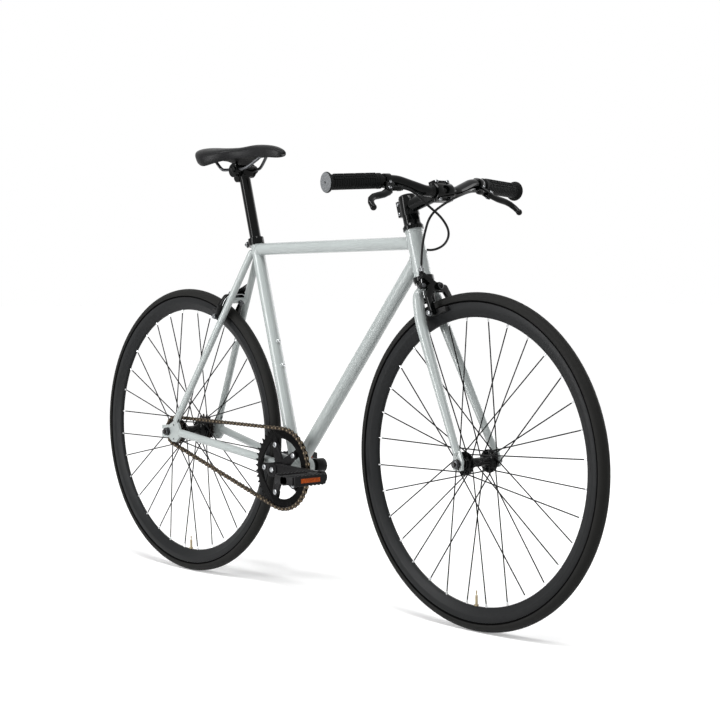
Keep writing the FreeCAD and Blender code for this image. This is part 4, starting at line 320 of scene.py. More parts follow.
def mottled(finish, millimetre, dark, light, rough, detail=2):
    """Drives colour and roughness from a noise, and hands the noise on."""
    noise = texture(finish, "TexNoise", millimetre, Detail=detail).outputs["Fac"]
    spread = add(finish, "MapRange", None, {"Value": noise, "From Min": 0.3, "From Max": 0.7,
                                            "To Min": rough[0], "To Max": rough[1]})
    feed(finish, "Base Color", blend_of(finish, noise, dark, light))
    feed(finish, "Roughness", spread.outputs["Result"])
    return noise


def bumped(finish, height, strength, millimetre):
    """Relief of a height field, as deep as a size in millimetres."""
    inputs = {"Height": height, "Strength": strength, "Distance": millimetre / 1000}
    feed(finish, "Normal", add(finish, "Bump", None, inputs).outputs["Normal"])


def coat(name, gloss, millimetre, dark, light, rough):
    """A mottled finish that isn't metal, with its share of mirror gloss."""
    finish = new_finish(name, IOR=1.5, Specular_IOR_Level=gloss)
    mottled(finish, millimetre, dark, light, rough)
    return finish


# %% [markdown]
# Enamel on the steel tubes is sprayed and baked: a pale, slightly green grey under a clear gloss,
# a touch darker or lighter from place to place.

# %% Grey enamel
grey_enamel = new_finish("grey_enamel", IOR=1.5, Coat_Weight=0.5, Coat_Roughness=0.16)
mottled(grey_enamel, 60, "8f9594", "929897", (0.28, 0.32), detail=1)

# %% [markdown]
# The black fittings are aluminium with a sprayed or anodised coat. Sprayed black is glossier, so
# it carries bright lines; anodised rims are satin and show a soft grey sheen.

# %% Black finishes
black_gloss = coat("black_enamel", 0.12, 4, "040505", "070808", (0.04, 0.08))
black_satin = coat("black_anodised_satin", 0.1, 3, "070708", "0b0b0c", (0.32, 0.45))
crank_black = coat("crank_black_coat", 0.08, 5, "0a0a0b", "100f10", (0.26, 0.38))
ring_black = coat("chainring_hard_coat", 0.03, 5, "040404", "070707", (0.25, 0.35))
rim_satin = coat("rim_anodised", 0.1, 7, "151617", "1a1b1c", (0.34, 0.42))

# %% [markdown]
# Rubber scatters light and has next to no gloss. The grips' end faces are painted mid-grey, a painted
# highlight for the light that falls on them, and the tyre's bead band is painted near black, a painted shade
# for the groove between tyre and rim.

# %% Rubber finishes
grip_rubber = coat("grip_rubber", 0.09, 2, "090a0a", "0e0f0f", (0.48, 0.64))
# painted highlight: mid-grey rubber standing for the light that falls on the grips' end faces
painted_light_rubber = coat("painted_light_rubber", 0.3, 3, "56585a", "66686a", (0.55, 0.7))
pad_rubber = coat("brake_pad_rubber", 0.25, 2, "0d0d0d", "141414", (0.6, 0.8))
# painted shade: the tyre's bead band is painted near black for the shadow in the groove between tyre and rim
painted_bead_shade = coat("painted_bead_shade", 0.02, 3, "020202", "050505", (0.8, 0.9))

# %% [markdown]
# The tyre's tread is a fine file of slanting grooves. They follow the tyre, so they read the
# piece's own UV map, which holds metres around and across it.

# %% Tyre rubber with its tread
GROOVE_STEP, GROOVE_SLANT, GROOVE_FLOOR, GROOVE_EDGE = 0.0046, 0.8, 0.0003, 0.0009
TREAD_HALF, TREAD_FADE = 0.0085, 0.001
tyre_rubber = coat("tyre_rubber", 0.1, 6, "131312", "191918", (0.55, 0.7))


def reckoned(finish, operation, *values):
    """One step of arithmetic on sockets and numbers."""
    return add(finish, "Math", {"operation": operation}, dict(enumerate(values))).outputs[0]


def ramp(finish, value, low, high):
    """0 below a low value, 1 above a high one."""
    inputs = {"Value": value, "From Min": low, "From Max": high}
    return add(finish, "MapRange", None, inputs).outputs["Result"]


unrolled = add(tyre_rubber, "UVMap", {"uv_map": "tread"}).outputs["UV"]
along, across = add(tyre_rubber, "SeparateXYZ", None, {"Vector": unrolled}).outputs[:2]
off = reckoned(tyre_rubber, "ABSOLUTE", across)
slant = reckoned(tyre_rubber, "MULTIPLY_ADD", off, GROOVE_SLANT, along)
groove = reckoned(tyre_rubber, "PINGPONG", slant, GROOVE_STEP / 2)
wall = ramp(tyre_rubber, groove, GROOVE_FLOOR, GROOVE_EDGE)
zone = ramp(tyre_rubber, off, TREAD_HALF, TREAD_HALF + TREAD_FADE)
bumped(tyre_rubber, reckoned(tyre_rubber, "MAXIMUM", wall, zone), 0.8, 0.6)
print("a groove every", 1000 * GROOVE_STEP, "mm")

# %% [markdown]
# Bare metals: bright steel for springs and wires, plated steel for bolts, blackened steel for
# nuts and rails, hard dark steel for cogs and axles, brown oiled steel for the chain, brass for the
# valves. A metal keeps the default IOR and gets a brushed roughness.

# %% Metal finishes


def metal(name, dark, light, rough):
    finish = new_finish(name, Metallic=1)
    mottled(finish, 1.5, dark, light, rough)
    return finish


bright_steel = metal("bright_steel", "a8aaab", "c9cbcc", (0.2, 0.36))
black_steel = metal("blackened_steel", "3c3d3f", "4c4d4f", (0.3, 0.45))
dark_steel = metal("hard_black_steel", "2a2725", "3b3632", (0.35, 0.5))
chain_steel = metal("brown_chain_steel", "2a2521", "463e34", (0.32, 0.5))
rivet_steel = metal("rivet_steel", "6f6252", "94866f", (0.28, 0.42))
bolt_silver = metal("plated_bolt_steel", "828486", "a6a8aa", (0.2, 0.34))
valve_brass = metal("valve_brass", "857a62", "a3977c", (0.25, 0.4))
silver_alloy = metal("silver_alloy", "b9babb", "d6d7d8", (0.28, 0.42))

# %% [markdown]
# Plastics are moulded: pedals have a fine spark-eroded grain, the cable sheath is smooth, and the
# reflectors are amber acrylic with rows of little corner cubes behind the face.

# %% Plastic finishes
moulded_black = new_finish("moulded_nylon", IOR=1.5, Specular_IOR_Level=0.14)
speckle = mottled(moulded_black, 0.9, "0d0d0e", "141415", (0.42, 0.58))
bumped(moulded_black, speckle, 0.2, 0.15)
sheath = coat("cable_sheath", 0.15, 5, "070708", "0b0b0c", (0.28, 0.38))
amber = new_finish("amber_acrylic", IOR=1.49, Specular_IOR_Level=0.2)
cubes = texture(amber, "TexVoronoi", 2.6).outputs["Distance"]
feed(amber, "Base Color", blend_of(amber, cubes, "5c1f04", "b8500a"))
bumped(amber, cubes, 0.5, 0.4)

# %% [markdown]
# The saddle is covered with a smooth synthetic leather: nearly black, with a soft sheen and a
# pebble grain between one and two millimetres wide. Its shell is plain dull nylon.

# %% Saddle finishes
shell_nylon = coat("moulded_nylon", 0.03, 2, "060606", "090909", (0.5, 0.6))
saddle_cover = new_finish("synthetic_leather", IOR=1.48, Specular_IOR_Level=0.14)
mottled(saddle_cover, 12, "08080a", "0c0d0e", (0.34, 0.42))
bumped(saddle_cover, texture(saddle_cover, "TexVoronoi", 1.6).outputs["Distance"], 0.12, 0.2)

# %% [markdown]
# ## Camera, floor and light
# The picture was taken from ahead on the right, from a little below the top tube's height, with a
# long lens. The lens comes from the picture's focal length in pixels.

# %% Camera
VIEW_TURN = math.radians(48.154)
VIEW_RISE = math.radians(2.873)
VIEW_DISTANCE = 3.6269
VIEW_TARGET = millimetres(130.08, 0, 525.22)
FOCAL_PIXELS = 1710.14
PICTURE_PIXELS = 720
SENSOR = 36
to_right = Vector((math.cos(VIEW_TURN), math.sin(VIEW_TURN), 0))
back = Vector((to_right.y * math.cos(VIEW_RISE), -to_right.x * math.cos(VIEW_RISE), math.sin(VIEW_RISE)))
camera = bpy.data.objects.new("camera", bpy.data.cameras.new("camera"))
camera.data.sensor_width = SENSOR
camera.data.lens = FOCAL_PIXELS / PICTURE_PIXELS * SENSOR
camera.matrix_world = basis(VIEW_TARGET + back * VIEW_DISTANCE, back, to_right)
scene = bpy.context.scene
scene.collection.objects.link(camera)
scene.camera = camera
scene.view_settings.view_transform = "Standard"
print("lens", round(camera.data.lens, 1), "mm, eye", round(camera.matrix_world.translation.z, 2), "m up")

# %% [markdown]
# The room is white: the world lights everything softly, a wide sun from ahead gives the soft
# shadow under the tyres, two strip lamps draw the bright lines along tubes and bars, and one wide
# lamp fills the far side.

# %% World and lamps
WORLD_LIGHT = 0.33
SUN_POWER, SUN_WIDTH, TO_SUN = 1.35, math.radians(26), (0.5, -0.22, 0.84)
# name, place, aim, width, height and power
LAMPS = (
    ("strip_side", (-0.9, -2.6, 1.2), (0, 0, 0.6), 0.6, 2.4, 62),
    ("strip_above", (0.3, -0.9, 2.7), (0.1, 0, 0.6), 2.6, 0.2, 36),
    ("fill_far_side", (0.2, 2.8, 1.3), (0, 0, 0.6), 2.2, 1.2, 22),
)


def rays_of(finish, *kinds):
    """1 for rays of the named kinds, 0 for others."""
    rays = add(finish, "LightPath").outputs
    seen = rays[f"Is {kinds[0]} Ray"]
    for kind in kinds[1:]:
        seen = reckoned(finish, "MAXIMUM", seen, rays[f"Is {kind} Ray"])
    return seen


world = bpy.data.worlds.new("white_room")
world.use_nodes = True
scene.world = world
sky = world.node_tree.nodes["Background"]
sky.inputs["Color"].default_value = colour("ffffff")
seen = rays_of(world, "Camera", "Transmission", "Glossy")
level = add(world, "MapRange", None, {"Value": seen, "To Min": WORLD_LIGHT, "To Max": 1.0})
world.node_tree.links.new(level.outputs["Result"], sky.inputs["Strength"])
for name, place, aim, width, height, power in LAMPS:
    light = bpy.data.lights.new(name, "AREA")
    light.shape = "RECTANGLE"
    light.size = width
    light.size_y = height
    light.energy = power
    lamp = bpy.data.objects.new(name, light)
    lamp.matrix_world = basis(Vector(place), Vector(place) - Vector(aim), AHEAD)
    scene.collection.objects.link(lamp)
sun = bpy.data.objects.new("sun", bpy.data.lights.new("sun", "SUN"))
sun.data.energy = SUN_POWER
sun.data.angle = SUN_WIDTH
sun.matrix_world = basis((0, 0, 3), TO_SUN, AHEAD)
scene.collection.objects.link(sun)
print("lamps", len(LAMPS), "and a sun")

# %% [markdown]
# The floor is a pale sheet that takes the shadow. A little light of its own, stronger far away,
# lets it fade into the white room.

# %% Floor
FLOOR_SIZE, FLOOR_DROP = 30, 0.0004
NEAR, FAR = 0.9, 3.2
NEAR_LIFT, FAR_LIFT = 0.17, 0.38
mesh = bmesh.new()
bmesh.ops.create_grid(mesh, x_segments=1, y_segments=1, size=FLOOR_SIZE)
bmesh.ops.translate(mesh, vec=(0, 0, -FLOOR_DROP), verts=mesh.verts)
floor_data = bpy.data.meshes.new("floor")
mesh.to_mesh(floor_data)
mesh.free()
floor = bpy.data.objects.new("floor", floor_data)
scene.collection.objects.link(floor)
floor_paint = new_finish("pale_floor", Roughness=0.9, Specular_IOR_Level=0.0)
shader_of(floor_paint).inputs["Base Color"].default_value = colour("f9f9f9")
place = add(floor_paint, "TexCoord").outputs["Object"]
reach = add(floor_paint, "VectorMath", {"operation": "LENGTH"}, {0: place}).outputs["Value"]
fade = {"Value": reach, "From Min": NEAR, "From Max": FAR, "To Min": NEAR_LIFT, "To Max": FAR_LIFT}
amount = add(floor_paint, "MapRange", {"interpolation_type": "SMOOTHSTEP"}, fade).outputs["Result"]
share = reckoned(floor_paint, "MULTIPLY", rays_of(floor_paint, "Camera", "Glossy"), amount)
lift = add(floor_paint, "Emission", None, {"Color": colour("ffffff"), "Strength": share})
both = add(floor_paint, "AddShader", None, {0: shader_of(floor_paint).outputs[0], 1: lift.outputs[0]})
output = floor_paint.node_tree.nodes["Material Output"]
floor_paint.node_tree.links.new(both.outputs[0], output.inputs["Surface"])
floor_data.materials.append(floor_paint)
print("floor", 2 * FLOOR_SIZE, "m wide")

# %% [markdown]
# ## Frame tubes
# A welded steel frame is plain tubes with a small even bead where each one meets the next. The
# CAD tubes are right as they are, so only the beads are added: rings swept along the line where
# two tubes meet.

# %% Main welds
HEAD_LENGTH, HEAD_RADIUS = 100, 18
TOP_TUBE_RADIUS, DOWN_TUBE_RADIUS, SEAT_TUBE_RADIUS, SHELL_RADIUS, SHELL_REACH = 13.5, 15.5, 14.3, 20, 50
SEAT_TUBE_LENGTH, TOP_TUBE_AT, TOP_TUBE_HEAD, DOWN_TUBE_HEAD = 528, 503.7, 72, 42
BEAD_RADIUS, BEAD_STEPS = 2.2, 56
head_top = head_foot + steer_up * HEAD_LENGTH / 1000
seat_top = bracket + seat_up * SEAT_TUBE_LENGTH / 1000
top_tube_rear = bracket + seat_up * TOP_TUBE_AT / 1000
top_tube_front = head_foot + steer_up * TOP_TUBE_HEAD / 1000
down_tube_front = head_foot + steer_up * DOWN_TUBE_HEAD / 1000
shell_half = ACROSS * SHELL_REACH / 1000
seat_line = (bracket, seat_top, SEAT_TUBE_RADIUS)
head_line = (head_foot, head_top, HEAD_RADIUS)
shell_line = (bracket - shell_half, bracket + shell_half, SHELL_RADIUS)


def bead(mesh, tube, host):
    """Weld bead where a tube (start, end, radius) runs into a host tube, near the tube's end."""
    start, end, radius = tube
    host_start, host_end, host_radius = host
    way = (end - start).normalized()
    host_way = (host_end - host_start).normalized()
    side = way.orthogonal().normalized()
    other = way.cross(side)
    across = way - host_way * way.dot(host_way)
    loop = []
    for step in range(BEAD_STEPS):
        angle = TAU * step / BEAD_STEPS
        foot = start + (side * math.cos(angle) + other * math.sin(angle)) * (radius / 1000)
        gap = (foot - host_start) - host_way * (foot - host_start).dot(host_way)
        a, b = across.dot(across), gap.dot(across)
        c = gap.dot(gap) - (host_radius / 1000) ** 2
        root = math.sqrt(max(b * b - a * c, 0))
        loop.append(foot + way * ((-b - root) / a))
    drawn(mesh, loop + loop[:2], BEAD_RADIUS, 10, capped=False)


mesh = bmesh.new()
bead(mesh, (top_tube_rear, top_tube_front, TOP_TUBE_RADIUS), head_line)
bead(mesh, (top_tube_front, top_tube_rear, TOP_TUBE_RADIUS), seat_line)
bead(mesh, (bracket, down_tube_front, DOWN_TUBE_RADIUS), head_line)
bead(mesh, (down_tube_front, bracket, DOWN_TUBE_RADIUS), shell_line)
piece("frame_welds", mesh, grey_enamel, "frame")

# %% [markdown]
# The fork has a blade on each side that bends out of the crown and tapers to the fork end. The
# real blades are slimmer at the shoulder than the construction's, so they are drawn again here:
# the forged ends are kept from the CAD node, cut off above the axle, and a tapering tube runs
# down to each of them.

# %% Fork blades
FORK_END_BACK, FORK_END_PLANE, FORK_END_UP, BLADE_TOP, BLADE_TIP, STUB = 4, 52.5, 20, 11.9, 7.7, 42
SHOULDER = ((5, 0), (17, 1), (27, 15), (30.5, 45), (33.2, 80))
mesh = copied("fork_blades", 0.4)
bmesh.ops.bisect_plane(mesh, geom=mesh.verts[:] + mesh.edges[:] + mesh.faces[:], dist=1e-6,
                       plane_co=front_axle + steer_up * STUB / 1000, plane_no=steer_up, clear_outer=True)
for side in (-1, 1):
    route = [front_bolt + ACROSS * side * out / 1000 - steer_up * down / 1000 for out, down in SHOULDER]
    route.append(front_axle + millimetres(-FORK_END_BACK, side * FORK_END_PLANE, FORK_END_UP))
    path = smooth_path(route)
    drop = [max((front_bolt - point).dot(steer_up) * 1000 - SHOULDER[3][1], 0) for point in path]
    drawn(mesh, path, [BLADE_TOP + (BLADE_TIP - BLADE_TOP) * down / drop[-1] for down in drop], 40)
piece("fork_blades_bent", mesh, grey_enamel, "steering", ["fork_blades"])

# %% [markdown]
# ## Small parts that come back everywhere
# Socket screws and hexagon nuts hold a bicycle together. Both stand on a place whose local Z is
# the screw's axis, so one call puts one anywhere. Nuts at the two ends of an axle come in pairs.

# %% Screws and nuts


def standing(spot, way):
    return basis(spot, way, Vector(way).orthogonal())


def screw(mesh, spot, way, radius, height):
    """Socket screw with a rounded head and a sunk recess."""
    sunk, recess = height * 0.4, radius * 0.5
    turned(mesh, [(0, sunk), (recess, sunk), (recess, height), (radius * 0.8, height),
                  (radius, height * 0.72), (radius, 0), (0, 0)], standing(spot, way), 20)


def hexagon(mesh, spot, way, width, height):
    """Hexagon nut, its width measured across the flats."""
    reach = width / math.sqrt(3)
    outline = [(reach * math.cos(TAU * k / 6), reach * math.sin(TAU * k / 6)) for k in range(6)]
    pressed(mesh, outline, height, standing(spot, way), middle=False)


def nut_pair(middle, out, width, height, soft):
    """Two rounded nuts that stand out to both sides of a middle, by a distance in metres."""
    mesh = bmesh.new()
    for side in (-1, 1):
        hexagon(mesh, middle + ACROSS * side * out, ACROSS * side, width, height)
    softened(mesh, soft)
    return mesh


def turned_pair(mesh, profile, middle, out, steps):
    """The same turned profile on both sides of a middle."""
    for side in (-1, 1):
        turned(mesh, profile, basis(middle + ACROSS * side * out, ACROSS * side, AHEAD), steps)


# %% [markdown]
# Two threaded bosses on the seat tube take a bottle cage, and until then each holds a screw. The
# bead round the seat tube's foot goes with them.

# %% Bottle bosses and the foot of the seat tube
BOSS_HEIGHTS, BOSS_SUNK, BOSS_FACE, BOTTLE_SCREW = (230, 285), 0.6, 0.0021, (4.2, 2.6)
BOSS = ((0, 2.2), (5.2, 2.2), (6, 1.6), (6.4, 0), (0, 0))
bosses, screws = bmesh.new(), bmesh.new()
bead(bosses, (seat_top, bracket, SEAT_TUBE_RADIUS), shell_line)
for height in BOSS_HEIGHTS:
    spot = bracket + seat_up * height / 1000 + seat_ahead * (SEAT_TUBE_RADIUS - BOSS_SUNK) / 1000
    turned(bosses, BOSS, basis(spot, seat_ahead, ACROSS), 24)
    screw(screws, spot + seat_ahead * BOSS_FACE, seat_ahead, *BOTTLE_SCREW)
piece("seat_tube_bosses", bosses, grey_enamel, "frame")
piece("bottle_screws", screws, bright_steel, "frame")

# %% [markdown]
# ## Wheels
# Tyre and rim are true solids of revolution. The tyre's outside is an ellipse 26 mm wide; its UV
# map holds metres around and across the tread, so that the tread pattern has its real size.

# %% Tyres and rims
TYRE_BELLY, TYRE_HALF, TYRE_RISE, BEAD_CIRCLE, BEAD_HALF = 323.5, 13, 12.5, 313.4, 9.3
# The first radius on the next line is the top of the band painted near black as shade in the tyre-rim groove.
PAINTED_SHADE_TOP, TYRE_RADIUS, TYRE_ARC, TYRE_STEPS, RIM_STEPS = 320.2, 0.336, range(-32, 213, 4), 144, 160
RIM_LIP = ((316.5, 11.5), (316.5, 9.9), (312.5, 9.6), (311, 8.6))
RIM_FLANK = ((304, 11.5), (289, 5), (286.5, 2.5))
# label, hub, body, then the spoke holes' circle and the flanges' distance from the middle
WHEELS = (("front", front_axle, "front_wheel", 19, 34), ("rear", rear_axle, "rear_wheel", 22.5, 31))


def from_axle(spot, hub):
    """Distance from a wheel's axle, in metres."""
    return math.hypot(spot.x - hub.x, spot.z - hub.z)


def tread_map(mesh, hub):
    """UV in metres: around the wheel, and across the tyre from the middle of the tread."""
    layer = mesh.loops.layers.uv.new("tread")
    for face in mesh.faces:
        middle = face.calc_center_median() - hub
        turn = math.atan2(middle.z, middle.x)
        for loop in face.loops:
            out = loop.vert.co - hub
            angle = math.atan2(out.z, out.x)
            angle += TAU * round((turn - angle) / TAU)
            rise = math.hypot(out.x, out.z) - TYRE_BELLY / 1000
            lie = math.atan2(out.y / TYRE_HALF, max(rise, 1e-6) / TYRE_RISE)
            loop[layer].uv = (angle * TYRE_RADIUS, lie * TYRE_HALF / 1000)


for label, hub, body, circle, flange in WHEELS:
    place = basis(hub, ACROSS, AHEAD)
    arc = [math.radians(angle) for angle in TYRE_ARC]
    profile = [(TYRE_BELLY + TYRE_RISE * math.sin(angle), TYRE_HALF * math.cos(angle)) for angle in arc]
    mesh = bmesh.new()
    profile = [(BEAD_CIRCLE, BEAD_HALF)] + profile + [(BEAD_CIRCLE, -BEAD_HALF)]
    turned(mesh, profile, place, TYRE_STEPS, closed=True)
    tread_map(mesh, hub)
    # Faces below that radius take the painted shade of the groove between tyre and rim.
    for face in mesh.faces:
        face.material_index = int(from_axle(face.calc_center_median(), hub) * 1000 < PAINTED_SHADE_TOP)
    finishes = [tyre_rubber, painted_bead_shade]
    piece(f"{label}_tyre_treaded", mesh, finishes, body, [f"{label}_tyre"])
    half = RIM_LIP + tuple((r, -h) for r, h in RIM_LIP[::-1])
    section = half + tuple((r, -h) for r, h in RIM_FLANK) + RIM_FLANK[::-1]
    mesh = bmesh.new()
    turned(mesh, section, place, RIM_STEPS, closed=True)
    softened(mesh, 0.8, 15)
    piece(f"{label}_rim_turned", mesh, rim_satin, body, [f"{label}_rim"])

# %% [markdown]
# Thirty-two spokes cross three times on each side. Each one hooks through the flange with a bend,
# runs straight to the rim and ends in a nickel-plated nipple. A spoke that leaves from outside
# the flange starts further out, so that it clears the flange's edge.

# %% Spokes and nipples
SPOKES, CROSSING, SPOKE_RADIUS, SPOKE_HEAD = 32, 6, 1.35, 2.1
RIM_FOOT, RIM_INSIDE, FLANGE_EDGE = 286.2, 286.5, 4.5
ELBOW_OUT, HEAD_IN, BEND_BACK, BEND_ON, HEAD_THICK = 2.6, 2.4, 0.15, 0.002, 0.001
# distance along the spoke past the rim's inner face in metres, radius in millimetres
NIPPLE = ((0.003, 2.1), (-0.004, 2.1), (-0.006, 1.7), (-0.007, 1.2))
nipple_along, nipple_radii = zip(*NIPPLE)


def on_circle(radius, angle, lie):
    return millimetres(radius * math.cos(angle), lie, radius * math.sin(angle))


for label, hub, body, circle, flange in WHEELS:
    step = TAU / SPOKES
    over_edge = math.sqrt((circle + FLANGE_EDGE) ** 2 - circle ** 2) * flange / RIM_INSIDE
    wires, nipples = bmesh.new(), bmesh.new()
    for index in range(SPOKES):
        side = 1 if index % 2 else -1
        lean = -1 if index // 2 % 2 else 1
        angle = (index + 0.5) * step
        lie = side * (flange + lean * ELBOW_OUT + max(lean, 0) * over_edge)
        head = hub + on_circle(circle, angle, side * (flange - lean * HEAD_IN))
        elbow = hub + on_circle(circle, angle, lie)
        foot = hub + on_circle(RIM_FOOT, angle + lean * CROSSING * step, side)
        way = (foot - elbow).normalized()
        hook = (elbow - head).normalized()
        bend = [elbow - (elbow - head) * BEND_BACK, elbow + way * BEND_ON]
        drawn(wires, [head, *bend, foot], SPOKE_RADIUS, 8)
        drawn(wires, [head, head - hook * HEAD_THICK], SPOKE_HEAD, 8)
        drawn(nipples, [foot + way * along for along in nipple_along], nipple_radii, 8)
    piece(f"{label}_spokes_drawn", wires, black_satin, body, [f"{label}_spokes"])
    piece(f"{label}_nipples", nipples, silver_alloy, body)

# %% [markdown]
# The inner tube is a round rubber hoop under the tyre. Its slim brass valve comes through the rim
# where the construction has it: at the vertex of the CAD tube that is nearest to the axle.

# %% Inner tubes and valves
TUBE_CIRCLE, TUBE_RADIUS, TUBE_SIDES = 325, 7.5, 20
VALVE = ((0, 255), (1, 255.3), (1.4, 256), (1.4, 261), (1, 262), (1, 264), (2.2, 265), (2.6, 267),
         (2.6, 283), (4.6, 283.4), (4.6, 286), (2.6, 286.4), (2.6, 318), (0, 318))
ring = [TAU * k / TUBE_SIDES for k in range(TUBE_SIDES)]
ring = [(TUBE_CIRCLE + TUBE_RADIUS * math.cos(turn), TUBE_RADIUS * math.sin(turn)) for turn in ring]


def lately(mesh, count, index):
    """Gives a finish's index to all faces that were made after a count was taken."""
    mesh.faces.ensure_lookup_table()
    for face in mesh.faces[count:]:
        face.material_index = index


for label, hub, body, circle, flange in WHEELS:
    node = frame["nodes"][f"{label}_inner_tube"]
    tip = min((vert.co for vert in node.data.vertices), key=lambda spot: from_axle(spot, hub)) - hub
    mesh = bmesh.new()
    turned(mesh, ring, basis(hub, ACROSS, AHEAD), 96, closed=True)
    rubber = len(mesh.faces)
    turned(mesh, VALVE, basis(hub, (tip.x, 0, tip.z), ACROSS), 20)
    lately(mesh, rubber, 1)
    finishes = [pad_rubber, valve_brass]
    piece(f"{label}_inner_tube_blown", mesh, finishes, body, [f"{label}_inner_tube"])

# %% [markdown]
# A forged hub has a slim barrel that sweeps out into its two drilled flanges. The CAD hub already
# has the flanges, holes and bearing seats, so a copy is cut into slices and its barrel drawn in.

# %% Hubs
FLANGE_THICK, HUB_BORE, HUB_WAIST, SWEEP_START = 3, 8.06, 9.2, 9
WAIST_CUTS = (0, SWEEP_START, 13, 17, 20, 23)
FLANGE_SLACK, BORE_SLACK = 0.1, 0.5
for label, hub, body, circle, flange in WHEELS:
    mesh = merged(f"{label}_hub")
    for cut in WAIST_CUTS:
        for side in (-1, 1):
            geom = mesh.verts[:] + mesh.edges[:] + mesh.faces[:]
            spot = hub + ACROSS * side * cut / 1000
            bmesh.ops.bisect_plane(mesh, geom=geom, plane_co=spot, plane_no=ACROSS)
    inner = flange - FLANGE_THICK / 2
    for vert in mesh.verts:
        out = (vert.co - hub) * 1000
        radius = math.hypot(out.x, out.z)
        if abs(out.y) < inner - FLANGE_SLACK and radius > HUB_BORE + BORE_SLACK:
            rise = max(abs(out.y) - SWEEP_START, 0) / (inner - SWEEP_START)
            slim = HUB_WAIST + (radius - HUB_WAIST) * rise ** 2
            vert.co = hub + millimetres(out.x * slim / radius, out.y, out.z * slim / radius)
    piece(f"{label}_hub_waisted", mesh, black_gloss, body, [f"{label}_hub"])

# %% [markdown]
# The axle nuts are hexagons with a pressed washer. They stay with the frame or the fork, because a
# bicycle's axle is clamped and only the hub turns.

# %% Axle nuts
AXLE_WASHER = ((0, 1.9), (9.2, 1.9), (9.6, 1.2), (9.6, 0.1), (0, 0.1))
AXLE_END = ((0, 4.2), (3.6, 4.2), (4.4, 3.4), (4.4, 0), (0, 0))
NUT_IN, WASHER_IN, END_IN, AXLE_NUT = 0.0112, 0.0131, 0.0041, (16, 7.4, 0.7)
for label, hub, body in (("front", front_axle, "steering"), ("rear", rear_axle, "frame")):
    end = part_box(f"{label}_axle")[1][1]
    mesh = nut_pair(hub, end - NUT_IN, *AXLE_NUT)
    turned_pair(mesh, AXLE_WASHER, hub, end - WASHER_IN, 32)
    turned_pair(mesh, AXLE_END, hub, end - END_IN, 24)
    piece(f"{label}_axle_nuts", mesh, black_steel, body)

# %% [markdown]
# ## Chain and cranks
# The chain has 94 links of half an inch. Its rollers lie on the two straight runs and on the pitch
# circles of chainring and cog.

# %% Rollers along the chain
PITCH, LINKS, RING_TEETH, COG_TEETH = 12.7, 94, 44, 16
CHAIN_LINE = -0.0435
ring_pitch = PITCH / 2 / math.sin(math.pi / RING_TEETH)
cog_pitch = PITCH / 2 / math.sin(math.pi / COG_TEETH)
apart = (bracket - rear_axle).length * 1000
lean = math.asin((ring_pitch - cog_pitch) / apart)
straight = apart * math.cos(lean) / PITCH
on_ring = RING_TEETH * (math.pi + 2 * lean) / TAU
on_cog = COG_TEETH * (math.pi - 2 * lean) / TAU
to_ring = (bracket - rear_axle).normalized()
above = Vector((-to_ring.z, 0, to_ring.x))
upper = above * math.cos(lean) - to_ring * math.sin(lean)
lower = -above * math.cos(lean) - to_ring * math.sin(lean)
forth = to_ring * math.cos(lean) + above * math.sin(lean)
back_again = above * math.sin(lean) - to_ring * math.cos(lean)


def roller_at(place):
    """Middle of a roller, counted in pitches forward from the top of the cog."""
    if place < straight:
        return rear_axle + (upper * cog_pitch + forth * place * PITCH) / 1000
    place -= straight
    if place < on_ring:
        return bracket + Matrix.Rotation(TAU * place / RING_TEETH, 3, "Y") @ upper * (ring_pitch / 1000)
    place -= on_ring
    if place < straight:
        return bracket + (lower * ring_pitch + back_again * place * PITCH) / 1000
    place -= straight
    return rear_axle + Matrix.Rotation(TAU * place / COG_TEETH, 3, "Y") @ lower * (cog_pitch / 1000)


rollers = [roller_at(index) + ACROSS * CHAIN_LINE for index in range(LINKS)]
print("chain pitches", round(2 * straight + on_ring + on_cog, 2))

# %% [markdown]
# Inner and outer links take turns. Each has two waisted plates, and a riveted pin holds a roller
# in every joint.

# %% Plates, rollers and rivets
PLATE_END, PLATE_WAIST, PLATE_THICK = 4.2, 2.9, 1.0
INNER_PLATE, OUTER_PLATE = 2.3, 3.45
# half the width in metres, radius in millimetres and sides, of a roller and of the pin through it
ROLLER, PIN = (0.0017, 3.8, 14), (0.0044, 1.8, 10)
fan = [math.radians(angle) for angle in range(-120, 121, 30)]
outline = [(PITCH + PLATE_END * math.cos(angle), PLATE_END * math.sin(angle)) for angle in fan]
outline += [(PITCH / 2, PLATE_WAIST)]
outline += [(-PLATE_END * math.cos(angle), PLATE_END * math.sin(angle)) for angle in reversed(fan)]
outline += [(PITCH / 2, -PLATE_WAIST)]
plates, pins = bmesh.new(), bmesh.new()
for index, spot in enumerate(rollers):
    onward = rollers[(index + 1) % LINKS] - spot
    off = OUTER_PLATE if index % 2 else INNER_PLATE
    for side in (-1, 1):
        pressed(plates, outline, PLATE_THICK, basis(spot + ACROSS * side * off / 1000, ACROSS, onward))
    for half, radius, sides in (ROLLER, PIN):
        drawn(pins, [spot - ACROSS * half, spot + ACROSS * half], radius, sides)
softened(plates, 0.25, 50, 1)
piece("chain_plates", plates, chain_steel, "frame", ["chain"])
piece("chain_rivets", pins, rivet_steel, "frame")

# %% [markdown]
# The chainring and both cranks are forged and tumbled, so every edge is round. The ring is held by
# five short bolts and each crank by one bolt in the square end of the spindle.

